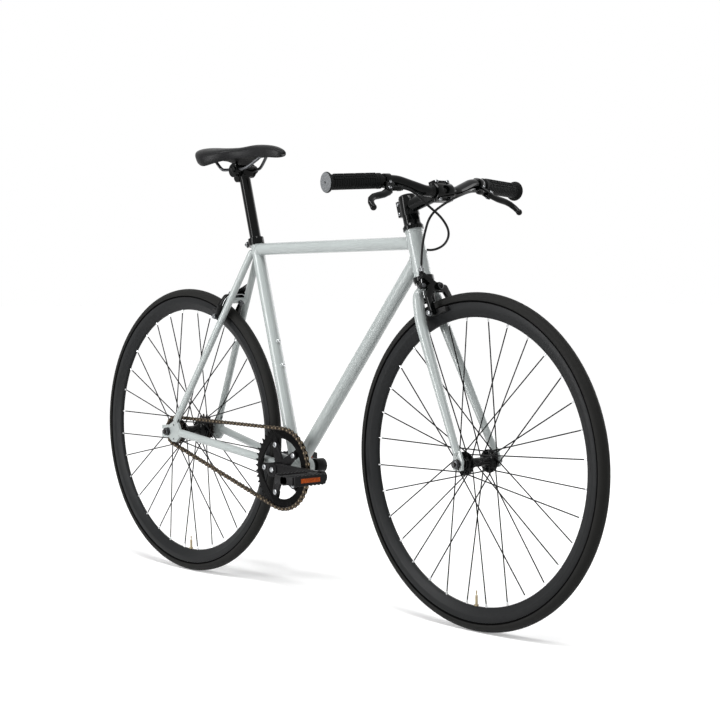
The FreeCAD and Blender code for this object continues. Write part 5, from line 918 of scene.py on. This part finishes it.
# %% Chainring, cranks and their bolts
RING_ARMS, BOLT_CIRCLE = 5, 55
RING_BOLT = ((0, 0.6), (2.6, 0.6), (2.6, 2), (4.7, 2), (5.8, 1.2), (5.8, 0), (0, 0))
RING_NUT = ((0, 1.4), (4.9, 1.4), (5.8, 0.8), (5.8, 0), (0, 0))
RING_BOLT_SUNK, RING_NUT_SUNK = 0.002, 0.0014
CRANK_NUT, CRANK_NUT_IN, CRANK_WASHER_IN = (11, 3.4, 0.6), 0.001, 0.0014
CRANK_WASHER = ((0, 1), (7.6, 1), (8, 0.6), (8, 0), (0, 0))
rounded("chainring", "rounded", 0.35, ring_black, "crankset")
for side in ("right", "left"):
    rounded(f"crank_{side}", "forged", 1.6, crank_black, "crankset")
mesh = bmesh.new()
outer_face, inner_face = (corner.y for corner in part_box("chainring_bolts"))
for arm in range(RING_ARMS):
    out = bracket + on_circle(BOLT_CIRCLE, TAU * (arm + 0.5) / RING_ARMS, 0)
    out.y = outer_face + RING_BOLT_SUNK
    turned(mesh, RING_BOLT, basis(out, -ACROSS, AHEAD), 24)
    out.y = inner_face - RING_NUT_SUNK
    turned(mesh, RING_NUT, basis(out, ACROSS, AHEAD), 24)
piece("chainring_bolts_turned", mesh, bolt_silver, "crankset", ["chainring_bolts"])
boss_end = -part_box("bottom_bracket_spindle")[0].y
mesh = nut_pair(bracket, boss_end - CRANK_NUT_IN, *CRANK_NUT)
turned_pair(mesh, CRANK_WASHER, bracket, boss_end - CRANK_WASHER_IN, 32)
piece("crank_bolts", mesh, bolt_silver, "crankset")

# %% [markdown]
# Each pedal is one nylon moulding: a barrel for the spindle, two toothed treads and the ribs
# between. An amber reflector is let into each tread.

# %% Pedals
SIDES = (("right", -1), ("left", 1))
PEDAL_MIDDLE, PEDAL_HALF, BARREL_RADIUS = 0.133, 46, 10.5
# middle along and across the pedal, and half of length, width and height, in millimetres
TREAD, END_PLATE, RIB = (29.75, 0, 3.25, 42, 10.5), (0, 42.5, 29, 3.5, 8.5), (0, 14.25, 28, 2.25, 7)
LENS = (33.1, 0, 0.9, 26, 4.6)
TOOTH_COUNT, TOOTH_FIRST, TOOTH_STEP = 8, -37, 10.3
TEETH = [(29.8, TOOTH_FIRST + step * TOOTH_STEP, 2.6, 2.2, 12) for step in range(TOOTH_COUNT)]


def block(mesh, along, across, *half):
    verts = bmesh.ops.create_cube(mesh, size=2)["verts"]
    bmesh.ops.scale(mesh, vec=millimetres(*half), verts=verts)
    bmesh.ops.translate(mesh, vec=millimetres(along, across, 0), verts=verts)


for side, sign in SIDES:
    spindle = joint_place(f"pedal_{side}_spin")
    mesh, lenses = bmesh.new(), bmesh.new()
    for end in (-1, 1):
        for along, across, *half in (TREAD, END_PLATE, RIB):
            block(mesh, end * along, end * across, *half)
        for along, across, *half in TEETH:
            block(mesh, end * along, across, *half)
        block(lenses, end * LENS[0], *LENS[1:])
    softened(mesh, 1.1)
    softened(lenses, 0.6)
    drawn(mesh, [millimetres(0, -PEDAL_HALF, 0), millimetres(0, PEDAL_HALF, 0)], BARREL_RADIUS, 32)
    for part in (mesh, lenses):
        bmesh.ops.translate(part, vec=(spindle.x, sign * PEDAL_MIDDLE, spindle.z), verts=part.verts)
    piece(f"pedal_{side}_moulded", mesh, moulded_black, f"{side}_pedal", [f"pedal_{side}"])
    piece(f"pedal_{side}_reflectors", lenses, amber, f"{side}_pedal")

# %% [markdown]
# ## Bars, grips and levers
# Both ends of the bar are the same, mirrored. Places on the lever bracket are written along the
# bar (outward), towards the lever and square to both, and the left hand flips them across.

# %% Frame of the bar's ends
BAR_CENTRE = millimetres(373.283, 0, 872.171)
BAR_END = millimetres(-45, -264, 11)
BAR_SHOULDER = millimetres(-18.9, -105.6, 19.5)
GRIP_IN, BRACKET_IN, LEVER_DIP = 122.95, 14.5, math.radians(41)
outward = (BAR_END - BAR_SHOULDER).normalized()
lever_aim = Vector((math.cos(LEVER_DIP), 0, -math.sin(LEVER_DIP)))
lever_down = (lever_aim - outward * lever_aim.dot(outward)).normalized()
lever_normal = outward.cross(lever_down)
grip_start = BAR_CENTRE + BAR_END - outward * GRIP_IN / 1000
bracket_seat = grip_start - outward * BRACKET_IN / 1000


def flipped(point, sign):
    """The same point or direction for the right hand (-1) or the left (1)."""
    return Vector((point.x, point.y * -sign, point.z))


def on_bracket(sign, x, y, z):
    """Place on a lever bracket, in millimetres outward, towards the lever and square to both."""
    return flipped(bracket_seat + (outward * x + lever_down * y + lever_normal * z) / 1000, sign)


print("lever brackets", round(2000 * abs(bracket_seat.y)), "mm apart")

# %% [markdown]
# The grips are moulded rubber: rings all round, long raised bars on top with slanting ends, and a wide flange
# at the outer end whose face is painted a dull grey, a painted highlight for the light falling on it.

# %% Grips
RINGS_FROM, RINGS_TO, RING_STEP, RING_GAP, RING_DEEP, RING_EDGE = 10, 112, 5.4, 1.3, 0.9, 0.5
GRIP_RADIUS = 15.2
GRIP_COLLAR = [(11.3, 0), (14.2, 0), (15.7, 1.2), (15.7, 7.5), (14.2, 8.4)]
GRIP_FLANGE = [(14.6, 114.5), (15.4, 118), (18, 119.2), (19.8, 120), (20.5, 121.6), (20.5, 123.4),
               (19.6, 125)]
GRIP_FACE = [(19.7, 124.9), (18.6, 125.5), (12, 125.9), (2.8, 126), (2.6, 123.6), (0, 123.6)]
BAR_CIRCLE, BAR_RADIUS, BAR_ROWS, BARS_IN_ROW = 15.3, 1.2, range(-1, 3), 4
BAR_FIRST, BAR_STEP, ROW_SHIFT, ROW_TURN, ROW_STEP = 14, 24.5, 2.5, 26, 22
# one raised bar: millimetres along the grip, radians round it
BAR_BEND = ((0, -0.06), (3, 0.05), (19, 0.05), (22, 0.16))
rings = []
height = RINGS_FROM
while height < RINGS_TO:
    crest = height + RING_STEP - RING_GAP
    rings += [(GRIP_RADIUS - RING_DEEP, height), (GRIP_RADIUS, height + RING_EDGE), (GRIP_RADIUS, crest),
              (GRIP_RADIUS - RING_DEEP, crest + RING_EDGE)]
    height += RING_STEP
for side, sign in SIDES:
    place = basis(flipped(grip_start, sign), flipped(outward, sign), (0, 0, 1))
    mesh = bmesh.new()
    turned(mesh, GRIP_COLLAR + rings + GRIP_FLANGE, place)
    for row in BAR_ROWS:
        for dash in range(BARS_IN_ROW):
            begin = BAR_FIRST + dash * BAR_STEP + row * ROW_SHIFT
            spots = []
            for along, turn in BAR_BEND:
                spin = sign * math.radians(ROW_TURN + row * ROW_STEP) + turn
                spot = (BAR_CIRCLE * math.cos(spin), BAR_CIRCLE * math.sin(spin), begin + along)
                spots.append(place @ millimetres(*spot))
            drawn(mesh, spots, BAR_RADIUS, 8)
    piece(f"grip_{side}_ribbed", mesh, grip_rubber, "steering", ["grips"])
    # The end face is painted mid-grey as a painted highlight.
    mesh = bmesh.new()
    turned(mesh, GRIP_FACE, place)
    piece(f"grip_{side}_end", mesh, painted_light_rubber, "steering")

# %% [markdown]
# The two-finger levers are cast and end in a ball, so that a hand can't slip off. A lever is drawn
# round, pressed flat at its root and left fuller along the blade.

# %% Levers
LEVER_PIVOT = (10, 30)
LEVER_SPINE = ((-1, 0), (7, 5), (18, 11), (32, 14), (44, 17), (53, 23.5), (58.5, 34), (60, 46))
LEVER_RADII = (8.6, 8.4, 7.8, 7.3, 7, 6.7, 6.4, 6.2)
LEVER_FLAT, BLADE_SWELL, SWELL_FROM, SWELL_OVER = 0.66, 0.24, 9, 16
LEVER_EYE = ((0, 6), (7.2, 6), (7.8, 5), (7.8, -5), (7.2, -6), (0, -6))
BALL, BALL_RADIUS = (60, 47.5, 0), 0.0066
x, y = LEVER_PIVOT
for side, sign in SIDES:
    mesh = bmesh.new()
    drawn(mesh, [millimetres(a, b, 0) for a, b in LEVER_SPINE], LEVER_RADII, 20)
    turned(mesh, LEVER_EYE, Matrix.Identity(4), 32)
    bmesh.ops.scale(mesh, vec=(1, 1, LEVER_FLAT), verts=mesh.verts)
    for vert in mesh.verts:
        swell = min(max((vert.co.x * 1000 - SWELL_FROM) / SWELL_OVER, 0), 1)
        vert.co.z *= 1 + BLADE_SWELL / LEVER_FLAT * swell
    bmesh.ops.create_uvsphere(mesh, u_segments=20, v_segments=12, radius=BALL_RADIUS,
                              matrix=Matrix.Translation(millimetres(*BALL)))
    for vert in mesh.verts:
        step = vert.co * 1000
        vert.co = on_bracket(sign, x + step.x, y + step.y, step.z)
    bmesh.ops.recalc_face_normals(mesh, faces=mesh.faces)
    node = f"brake_lever_{side}"
    piece(f"{node}_cast", mesh, black_gloss, f"{side}_lever", [node])

# %% [markdown]
# The levers' brackets carry the pivot screw, the clamp screw and a knurled adjuster for the cable.

# %% Lever brackets
PIVOT_FACE, PIVOT_SCREW = 7.2, (3.6, 2.4)
BRACKET_SCREW_AT, BRACKET_SCREW = (0, 13, 7), (3.2, 3)
ADJUSTER_AT, ADJUSTER = (-12.5, 24, 0), (11, 0.9, 5.9, 5.3, (4, 10.4, 13))


def knurl(count, pitch, crest, root, neck):
    """Profile of a knurled adjuster that ends in a plain neck (radius, start, end)."""
    radius, start, end = neck
    teeth = [(crest if step % 2 else root, step * pitch) for step in range(count)]
    return [(0, 0)] + teeth + [(radius, start), (radius, end), (0, end)]


brackets = copied("brake_brackets", 0.9)
screws = bmesh.new()
for side, sign in SIDES:
    square = (on_bracket(sign, 0, 0, 1) - on_bracket(sign, 0, 0, 0)).normalized()
    for face in (-1, 1):
        screw(screws, on_bracket(sign, x, y, face * PIVOT_FACE), square * face, *PIVOT_SCREW)
    screw(screws, on_bracket(sign, *BRACKET_SCREW_AT), square, *BRACKET_SCREW)
    place = basis(on_bracket(sign, *ADJUSTER_AT), -flipped(outward, sign), (0, 0, 1))
    turned(brackets, knurl(*ADJUSTER), place, 28)
piece("brake_brackets_cast", brackets, black_gloss, "steering", ["brake_brackets"])
piece("brake_bracket_screws", screws, bolt_silver, "steering")

# %% [markdown]
# Four screws hold the stem's faceplate, two clamp it to the steerer from behind, and one in the
# top cap sets the play of the head bearings.

# %% Stem
STEM_REACH, STEM_MID, STEM_HEIGHT = 97, 543.5, 39
FACE_AHEAD, FACE_ACROSS, FACE_UP, FACE_SCREW = 6.8, 15, 18.6, (3.6, 4)
CLAMP_BACK, CLAMP_ACROSS, CLAMP_UP, CLAMP_SCREW, CLAMP_NUT = 19.5, 10.8, 10, (3.2, 2.6), (6, 2)
CAP_UP, CAP_SCREW = 5, (4.6, 2.4)
steer_foot = BAR_CENTRE - (steer_ahead * STEM_REACH + steer_up * STEM_MID) / 1000
rounded("stem", "forged", 1.2, black_gloss, "steering")
rounded("stem_faceplate", "forged", 0.9, black_gloss, "steering")


def on_stem(ahead, across, up):
    """Place by the stem, in millimetres from the steerer's axis at the stem's middle height."""
    return steer_foot + (steer_ahead * ahead + ACROSS * across + steer_up * (STEM_MID + up)) / 1000


screws = bmesh.new()
for across in (-FACE_ACROSS, FACE_ACROSS):
    for up in (-FACE_UP, FACE_UP):
        screw(screws, on_stem(STEM_REACH + FACE_AHEAD, across, up), steer_ahead, *FACE_SCREW)
for up in (-CLAMP_UP, CLAMP_UP):
    screw(screws, on_stem(-CLAMP_BACK, -CLAMP_ACROSS, up), -ACROSS, *CLAMP_SCREW)
    hexagon(screws, on_stem(-CLAMP_BACK, CLAMP_ACROSS, up), ACROSS, *CLAMP_NUT)
screw(screws, on_stem(0, 0, STEM_HEIGHT / 2 + CAP_UP), steer_up, *CAP_SCREW)
piece("stem_screws", screws, bolt_silver, "steering")

# %% [markdown]
# ## Saddle and seatpost
# The saddle's cover is stretched over foam: wide and flat behind, a round hump along the nose.
# Each station gives a share of the length, a share of the half width, and how far the crown and
# the lower edge lie under the saddle's top. A smooth line runs through them.

# %% Sections of the saddle
SADDLE_REAR, SADDLE_LENGTH, SADDLE_HALF, SADDLE_TOP = -389, 268, 73, 997
STATIONS = ((0, 0.74, 1, 26), (0.05, 0.92, -1.5, 36), (0.11, 0.99, -2, 42), (0.18, 1, -1, 43),
            (0.32, 0.84, 1.5, 36), (0.48, 0.5, 2, 28), (0.66, 0.32, -1.5, 26), (0.84, 0.27, 2.5, 29),
            (0.95, 0.18, 11, 28), (1, 0.08, 19, 25))
SLANT_END, SLANT, SLANT_FROM, TUCK, LIP = 0.4, 0.42, 8, 0.13, 3
UNDERSIDE, ARCH_WIDTH = ((0.95, 0), (0.86, 4), (0.6, 11), (0.3, 15), (0, 16)), 60
SECTION_STEPS, CORNER = 26, 0.72


def between(share, column):
    """A size at a share of the saddle's length, along a smooth line through the stations."""
    index = max(k for k in range(len(STATIONS) - 1) if STATIONS[k][0] <= share)
    row = [STATIONS[min(max(index + step, 0), len(STATIONS) - 1)] for step in (-1, 0, 1, 2)]
    (x0, x1, x2, x3), (y0, y1, y2, y3) = [r[0] for r in row], [r[column] for r in row]
    span = x2 - x1
    t = (share - x1) / span
    lead = (y2 - y0) / (x2 - x0) * span if x2 > x0 else y2 - y1
    trail = (y3 - y1) / (x3 - x1) * span if x3 > x1 else y2 - y1
    return ((2 * t ** 3 - 3 * t ** 2 + 1) * y1 + (t ** 3 - 2 * t ** 2 + t) * lead
            + (3 * t ** 2 - 2 * t ** 3) * y2 + (t ** 3 - t ** 2) * trail)


def sizes(share):
    """Place along, half width, lower edge and the underside's arch at a share of the length."""
    half = SADDLE_HALF * between(share, 1)
    low = SADDLE_TOP - between(share, 3)
    return SADDLE_REAR + SADDLE_LENGTH * share, half, low, min(half / ARCH_WIDTH, 1)


def slanted(share, height):
    """How far the slanted rear comes forward at a height."""
    return SLANT * max(1 - share / SLANT_END, 0) * max(SADDLE_TOP - height - SLANT_FROM, 0)


def section(share, shrink):
    """Points over the saddle from its right lower edge to its left one, then back under the lip."""
    x, half, low, arch = sizes(share)
    rise = between(share, 3) - between(share, 2)
    points = []
    for step in range(SECTION_STEPS + 1):
        angle = math.pi * step / SECTION_STEPS
        out = math.copysign(abs(math.cos(angle)) ** CORNER, math.cos(angle))
        up = max(math.sin(angle), 0) ** CORNER
        tucked = 1 - TUCK * (1 - up) ** 1.5
        points.append((-half * out * tucked * shrink, low + LIP + (rise - LIP) * up * shrink))
    under = [(half * (1 - TUCK) * across * shrink, low + lift * arch) for across, lift in UNDERSIDE]
    points += under + [(-y, z) for y, z in under[-2::-1]]
    return [(x + slanted(share, z), y, z) for y, z in points]


print("saddle", SADDLE_LENGTH, "mm long,", 2 * SADDLE_HALF, "mm wide")

# %% [markdown]
# Cover and shell are lofted: every section is a closed loop of edges, neighbouring loops are
# bridged and the two ends closed. The cover is then smoothed a few times, as foam would do.

# %% Saddle cover and shell
SMOOTHINGS = 3
HOOPS, HOOPS_FROM, HOOPS_OVER = 30, 0.14, 0.78
SHELL_DROP, SHELL_THICK, SHELL_SLANT_FROM = 1.5, 3, 12


def lofted(sections):
    """A closed mesh through sections in millimetres, and its rows of vertices."""
    mesh = bmesh.new()
    rows = [[mesh.verts.new(millimetres(*point)) for point in points] for points in sections]
    loops = [[mesh.edges.new(pair) for pair in zip(row, row[1:] + row[:1])] for row in rows]
    for first, second in zip(loops, loops[1:]):
        bmesh.ops.bridge_loops(mesh, edges=first + second)
    for loop in (loops[0], loops[-1]):
        bmesh.ops.contextual_create(mesh, geom=loop)
    return mesh, rows


def shell_hoop(share):
    x, half, low, arch = sizes(share)
    x += slanted(share, low + SHELL_SLANT_FROM)
    lower = [(across, lift * arch - SHELL_DROP) for across, lift in UNDERSIDE[1:]]
    lower += [(-across, lift) for across, lift in lower[-2::-1]]
    hoop = lower + [(across, lift + SHELL_THICK) for across, lift in lower[::-1]]
    return [(x, half * (1 - TUCK) * across, low + up) for across, up in hoop]


shares = [0.0, 0.0, 0.012, 0.03] + [0.05 + 0.9 * step / 44 for step in range(45)]
shares += [0.965, 0.98, 0.992, 1.0, 1.0]
shrinks = [0.7, 0.9, 0.97] + [1.0] * (len(shares) - 6) + [0.95, 0.85, 0.62]
cover, rows = lofted([section(share, shrink) for share, shrink in zip(shares, shrinks)])
bmesh.ops.recalc_face_normals(cover, faces=cover.faces)
crown = [vert for row in rows[2:] for vert in row[1:SECTION_STEPS]]
for _ in range(SMOOTHINGS):
    bmesh.ops.smooth_vert(cover, verts=crown, factor=0.5, use_axis_x=True, use_axis_y=True, use_axis_z=True)
shell = lofted([shell_hoop(HOOPS_FROM + HOOPS_OVER * step / (HOOPS - 1)) for step in range(HOOPS)])[0]
piece("saddle_shell", shell, shell_nylon, "seat", ["saddle_base"])
saddle = piece("saddle_covered", cover, saddle_cover, "seat", ["saddle_pad"], crisp=70)

# %% [markdown]
# Under it a clamp grips the two bent rails, drawn up by one bolt on each side. The seat collar
# closes round the post with a screw behind it.

# %% Saddle clamp and seat collar
RAIL = ((-338, 31, 973), (-334, 30, 966), (-318, 24, 946), (-308, 22, 945), (-290, 22, 945),
        (-254, 22, 945), (-242, 22, 945), (-228, 19, 949), (-198, 9, 969), (-192, 7, 974))
RAIL_RADIUS, COLLAR_UP, COLLAR_BACK, LUG = 3.5, 0.5217, 0.0245, 0.0078
COLLAR_SCREW, COLLAR_NUT = (4.2, 4.4), (8, 3)
RAIL_NUT, WASHER_OUT, CHEEK_OUT = (0.03, 13, 5, 0.6), 0.0298, 0.0225
CLAMP_WASHER = ((0, 0.9), (8.6, 0.9), (9, 0.5), (9, 0), (0, 0))
CLAMP_CHEEK = ((0, 0), (14, 0), (16, 1.5), (16, 5), (14.5, 6.5), (0, 6.5))
CLAMP_BARREL = ((0, -15), (9.5, -15), (11, -13.5), (11, 13.5), (9.5, 15), (0, 15))
post_top = millimetres(-262.598, 0, 921.123)
clamp_middle = Vector((post_top.x - 0.002, 0, RAIL[4][2] / 1000))
rails = bmesh.new()
for side in (-1, 1):
    drawn(rails, smooth_path([millimetres(x, side * y, z) for x, y, z in RAIL]), RAIL_RADIUS, 16)
piece("saddle_rails_bent", rails, black_steel, "seat", ["saddle_rails"])
rounded("saddle_clamp", "pressed", 1.2, black_gloss, "seat")
mesh = nut_pair(clamp_middle, *RAIL_NUT)
turned_pair(mesh, CLAMP_WASHER, clamp_middle, WASHER_OUT, 28)
turned_pair(mesh, CLAMP_CHEEK, clamp_middle + millimetres(-7, 0, -2), CHEEK_OUT, 36)
turned(mesh, CLAMP_BARREL, basis(post_top + millimetres(-13, 0, 6), ACROSS, AHEAD), 32)
piece("saddle_clamp_nuts", mesh, black_gloss, "seat")
piece("seat_collar_turned", copied("seat_clamp", 0.8), black_gloss, "frame", ["seat_clamp"])
mesh = bmesh.new()
lug = bracket + seat_up * COLLAR_UP - seat_ahead * COLLAR_BACK
screw(mesh, lug - ACROSS * LUG, -ACROSS, *COLLAR_SCREW)
hexagon(mesh, lug + ACROSS * LUG, ACROSS, *COLLAR_NUT)
piece("seat_collar_screw", mesh, bolt_silver, "frame")

# %% [markdown]
# ## Brakes
# Both brakes are side-pull calipers. Local X lies across, Y up along the fork or the stays and Z
# away from the frame. Each arm is rounded like a forging; its shoe is rubber.

# %% Caliper arms and springs
ARM_THICK, ARM_GAP, BARREL_ACROSS, BARREL_UP = 7, 0.3, 36, 27
SHOE_IN, SHOE_LOW = 22.4, -18
SPRING_RADIUS = 0.9
rear_way = joint_axis("rear_brake_left")
rear_way *= -1 if rear_way.x > 0 else 1
stay_up = Vector((rear_way.z, 0, -rear_way.x))
stay_up *= 1 if stay_up.z > 0 else -1
# label, pivot bolt, up, away from the frame, axle of the wheel, where the arms begin, body
BRAKES = (("front", front_bolt, steer_up, steer_ahead, front_axle, 25, "steering"),
          ("rear", rear_bolt, stay_up, rear_way, rear_axle, 13, "frame"))


def brake_frame(bolt, up, ahead):
    return Matrix.Translation(bolt) @ Matrix((up.cross(ahead), up, ahead)).transposed().to_4x4()


for label, bolt, up, ahead, axle, start, carrier in BRAKES:
    place = brake_frame(bolt, up, ahead)
    for side in ("right", "left"):
        node = f"{label}_brake_arm_{side}"
        mesh = copied(node, 1.5)
        for face in mesh.faces:
            middle = place.inverted() @ face.calc_center_median() * 1000
            face.material_index = int(abs(middle.x) < SHOE_IN and middle.y < SHOE_LOW)
        finishes = [black_gloss, pad_rubber]
        piece(f"{node}_forged", mesh, finishes, f"{label}_{side}_arm", [node])
    spring = bmesh.new()
    for sign in (-1, 1):
        spots = [(0, 9, start - 2), (sign * 12, 12, start - 2.5), (sign * 26, 4, start - 2.5),
                 (sign * 32, -8, start - 2.2), (sign * 31, -20, start - 1.6)]
        path = smooth_path([place @ millimetres(*spot) for spot in spots], 6)
        drawn(spring, path, SPRING_RADIUS, 10)
    piece(f"{label}_brake_spring", spring, bright_steel, carrier)

# %% [markdown]
# Each arm has a shoe nut at the height of the rim's brake track. One arm carries the knurled barrel
# where the housing ends, the other the screw that holds the wire. A domed nut closes the pivot.

# %% Brake fittings
BRAKE_TRACK, BARREL_LEAN, BARREL_FOOT = 310.2, math.radians(16), 0.0065
BARREL = (9, 0.8, 6, 5.5, (3.6, 6.6, 11))
SHOE_NUT_OUT, SHOE_WASHER_OUT, SHOE_AHEAD, SHOE_NUT = 35.2, 34.6, 10, (10, 5)
ANCHOR_UP, ANCHOR_SUNK, ANCHOR_NUT, PIVOT_NUT = 4, 0.2, (9, 4), (14.6, 4.6)
SHOE_WASHER = ((0, 1), (6.4, 1), (6.8, 0.5), (6.8, 0), (0, 0))
ANCHOR_HEAD = ((0, 3), (4, 3), (5, 2), (5, 0), (0, 0))
PIVOT_GAP = 0.2
PIVOT_DOME = ((0, 5), (3, 4.6), (5, 3.2), (6, 0), (0, 0))
brake_bolt_finish = metal("darkened_bolt_steel", "5c5d5e", "7c7e80", (0.22, 0.36))
barrel_way = Matrix.Rotation(BARREL_LEAN, 3, "X") @ ACROSS


def shoe_level(place, axle, start):
    """Height of the rim's brake track in a brake's frame."""
    hub = place.inverted() @ axle * 1000
    ahead = start + ARM_THICK + SHOE_AHEAD - hub.z
    return hub.y + math.sqrt(BRAKE_TRACK ** 2 - ahead ** 2)


for label, bolt, up, ahead, axle, start, carrier in BRAKES:
    place = brake_frame(bolt, up, ahead)
    across = up.cross(ahead)
    level = shoe_level(place, axle, start)
    lie = start + ARM_THICK + ARM_GAP / 2
    aim = place.to_3x3() @ barrel_way
    for sign in (-1, 1):
        owner = "right" if (across * sign).y < 0 else "left"
        mesh = bmesh.new()
        hexagon(mesh, place @ millimetres(sign * SHOE_NUT_OUT, level, lie), across * sign, *SHOE_NUT)
        softened(mesh, 0.5)
        spot = place @ millimetres(sign * SHOE_WASHER_OUT, level, lie)
        turned(mesh, SHOE_WASHER, basis(spot, across * sign, aim), 24)
        if sign < 0:
            spot = place @ millimetres(-BARREL_ACROSS, BARREL_UP, lie) + aim * BARREL_FOOT
            turned(mesh, knurl(*BARREL), basis(spot, aim, across), 28)
        else:
            shoe_faces = len(mesh.faces)
            spot = place @ millimetres(-BARREL_ACROSS, ANCHOR_UP, start - ANCHOR_SUNK)
            hexagon(mesh, spot, -ahead, *ANCHOR_NUT)
            spot = place @ millimetres(-BARREL_ACROSS, ANCHOR_UP, start + ARM_THICK - ANCHOR_SUNK)
            turned(mesh, ANCHOR_HEAD, basis(spot, ahead, across), 20)
            lately(mesh, shoe_faces, 1)
        finishes = [brake_bolt_finish, black_steel]
        piece(f"{label}_brake_fittings_{owner}", mesh, finishes, f"{label}_{owner}_arm")
    mesh = bmesh.new()
    outside = start + 2 * (ARM_THICK + ARM_GAP)
    hexagon(mesh, place @ millimetres(0, 0, outside + PIVOT_GAP), ahead, *PIVOT_NUT)
    softened(mesh, 0.6)
    turned(mesh, PIVOT_DOME, basis(place @ millimetres(0, 0, outside + PIVOT_NUT[1]), ahead, across), 24)
    piece(f"{label}_brake_nut", mesh, black_gloss, carrier)

# %% [markdown]
# ## Cables
# A housing is stiff, so it takes the smoothest line between its ends. The rear one bends between the bars and
# the frame, then lies along the top tube in its guides and drops to the rear brake.

# %% Cable routes
HOUSING_FOOT, LEVER_CABLE = 4.1, 24
GUIDES, GUIDE_FROM, GUIDE_STEP, GUIDE_OUT, GUIDE_SAG = 8, 0.06, 0.12, 17.2, 1.4


def brake_barrel(index, shift):
    """Place on the axis of a brake's cable barrel, in millimetres from its middle."""
    label, bolt, up, ahead, axle, start, carrier = BRAKES[index]
    spot = Vector((-BARREL_ACROSS, BARREL_UP, start + ARM_THICK + ARM_GAP / 2)) + barrel_way * shift
    return brake_frame(bolt, up, ahead) @ (spot / 1000)


def from_bar(*steps):
    return [BAR_CENTRE + millimetres(*step) for step in steps]


def lever_run(sign):
    return [on_bracket(sign, out, LEVER_CABLE, 0) for out in (-20, -44)]


front_route = lever_run(1) + from_bar((20, 34, -7), (21, -4, -21), (2, -32, -46), (-9, -38, -86))
front_route += [brake_barrel(0, HOUSING_FOOT + 36), brake_barrel(0, HOUSING_FOOT)]
tube_front, tube_rear = millimetres(302.289, 0, 770.313), millimetres(-217.31, 0, 763.188)
guides = []
for step in range(GUIDES):
    spot = tube_front.lerp(tube_rear, GUIDE_FROM + GUIDE_STEP * step)
    guides.append(spot + millimetres(0, GUIDE_OUT, -GUIDE_SAG * (step % 2)))
rear_route = lever_run(-1) + from_bar((12, -52, -27), (17, -12, -53), (12, 15, -83), (-24, 33, -109))
rear_route += [tube_front + millimetres(2, 32, -17)] + guides
rear_route += [tube_rear + millimetres(-6, 27, 0)]
rear_route += [brake_barrel(1, HOUSING_FOOT + 62) + millimetres(14, -2, 0)]
rear_route += [brake_barrel(1, HOUSING_FOOT + 34), brake_barrel(1, HOUSING_FOOT)]
front_path, rear_path = smooth_path(front_route), smooth_path(rear_route)
for label, path in (("front", front_path), ("rear", rear_path)):
    print(label, "cable length", round(1000 * sum((b - a).length for a, b in zip(path, path[1:]))), "mm")

# %% [markdown]
# Three housings cross a joint; each is made in place and rides on no body. The bare wire below a barrel rides
# on the arm that carries the barrel.

# %% Housings and wires
HOUSING, WIRE, WIRE_END = 2.5, 0.8, -17


def barrel_arm(index):
    """Body that carries a brake's cable barrel; the wire's anchor screw is on the other arm."""
    label, bolt, up, ahead = BRAKES[index][:4]
    return f"{label}_right_arm" if up.cross(ahead).y > 0 else f"{label}_left_arm"


def housing(name, path, stands_for=()):
    mesh = bmesh.new()
    drawn(mesh, path, HOUSING, 14)
    return piece(name, mesh, sheath, None, stands_for)


last_guide = min(range(len(rear_path)), key=lambda k: (rear_path[k] - guides[-2]).length)
front_cable = housing("front_cable_housing", front_path, ["front_brake_cable"])
rear_cable = housing("rear_cable_housing", rear_path[:last_guide + 1], ["rear_brake_cable"])
rear_tail = housing("rear_cable_tail", rear_path[last_guide:])
barrel_arm(0)
brake_barrel(0, 70)
brake_barrel(0, 6)
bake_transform(front_cable)
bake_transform(rear_cable)
barrel_arm(1)
brake_barrel(1, 60)
brake_barrel(1, 6)
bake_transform(rear_tail)
for index, label in enumerate(("front", "rear")):
    mesh = bmesh.new()
    drawn(mesh, [brake_barrel(index, HOUSING_FOOT + 2), brake_barrel(index, WIRE_END)], WIRE, 8)
    piece(f"{label}_brake_wire", mesh, bright_steel, barrel_arm(index))

# %% [markdown]
# ## Finishes of the carried-over nodes
# A node whose CAD shape is already right stays, and takes its finish in its material slots.

# %% Dress the nodes
DRESSED = (
    (grey_enamel, "head_tube top_tube down_tube seat_tube bottom_bracket_shell chainstays seatstays "
                  "rear_dropouts stay_bridges cable_clips"),
    (black_gloss, "handlebar seatpost headset_stack headset_cups"),
    (black_satin, "bottom_bracket_cups fork_steerer"),
    (dark_steel, "rear_cog rear_freewheel front_axle rear_axle bottom_bracket_spindle pedal_spindles"),
    (black_steel, "front_brake_bolt rear_brake_bolt"),
)
for finish, names in DRESSED:
    for name in names.split():
        data = frame["nodes"][name].data
        data.materials.clear()
        data.materials.append(finish)
print("nodes kept", sum(len(names.split()) for finish, names in DRESSED))
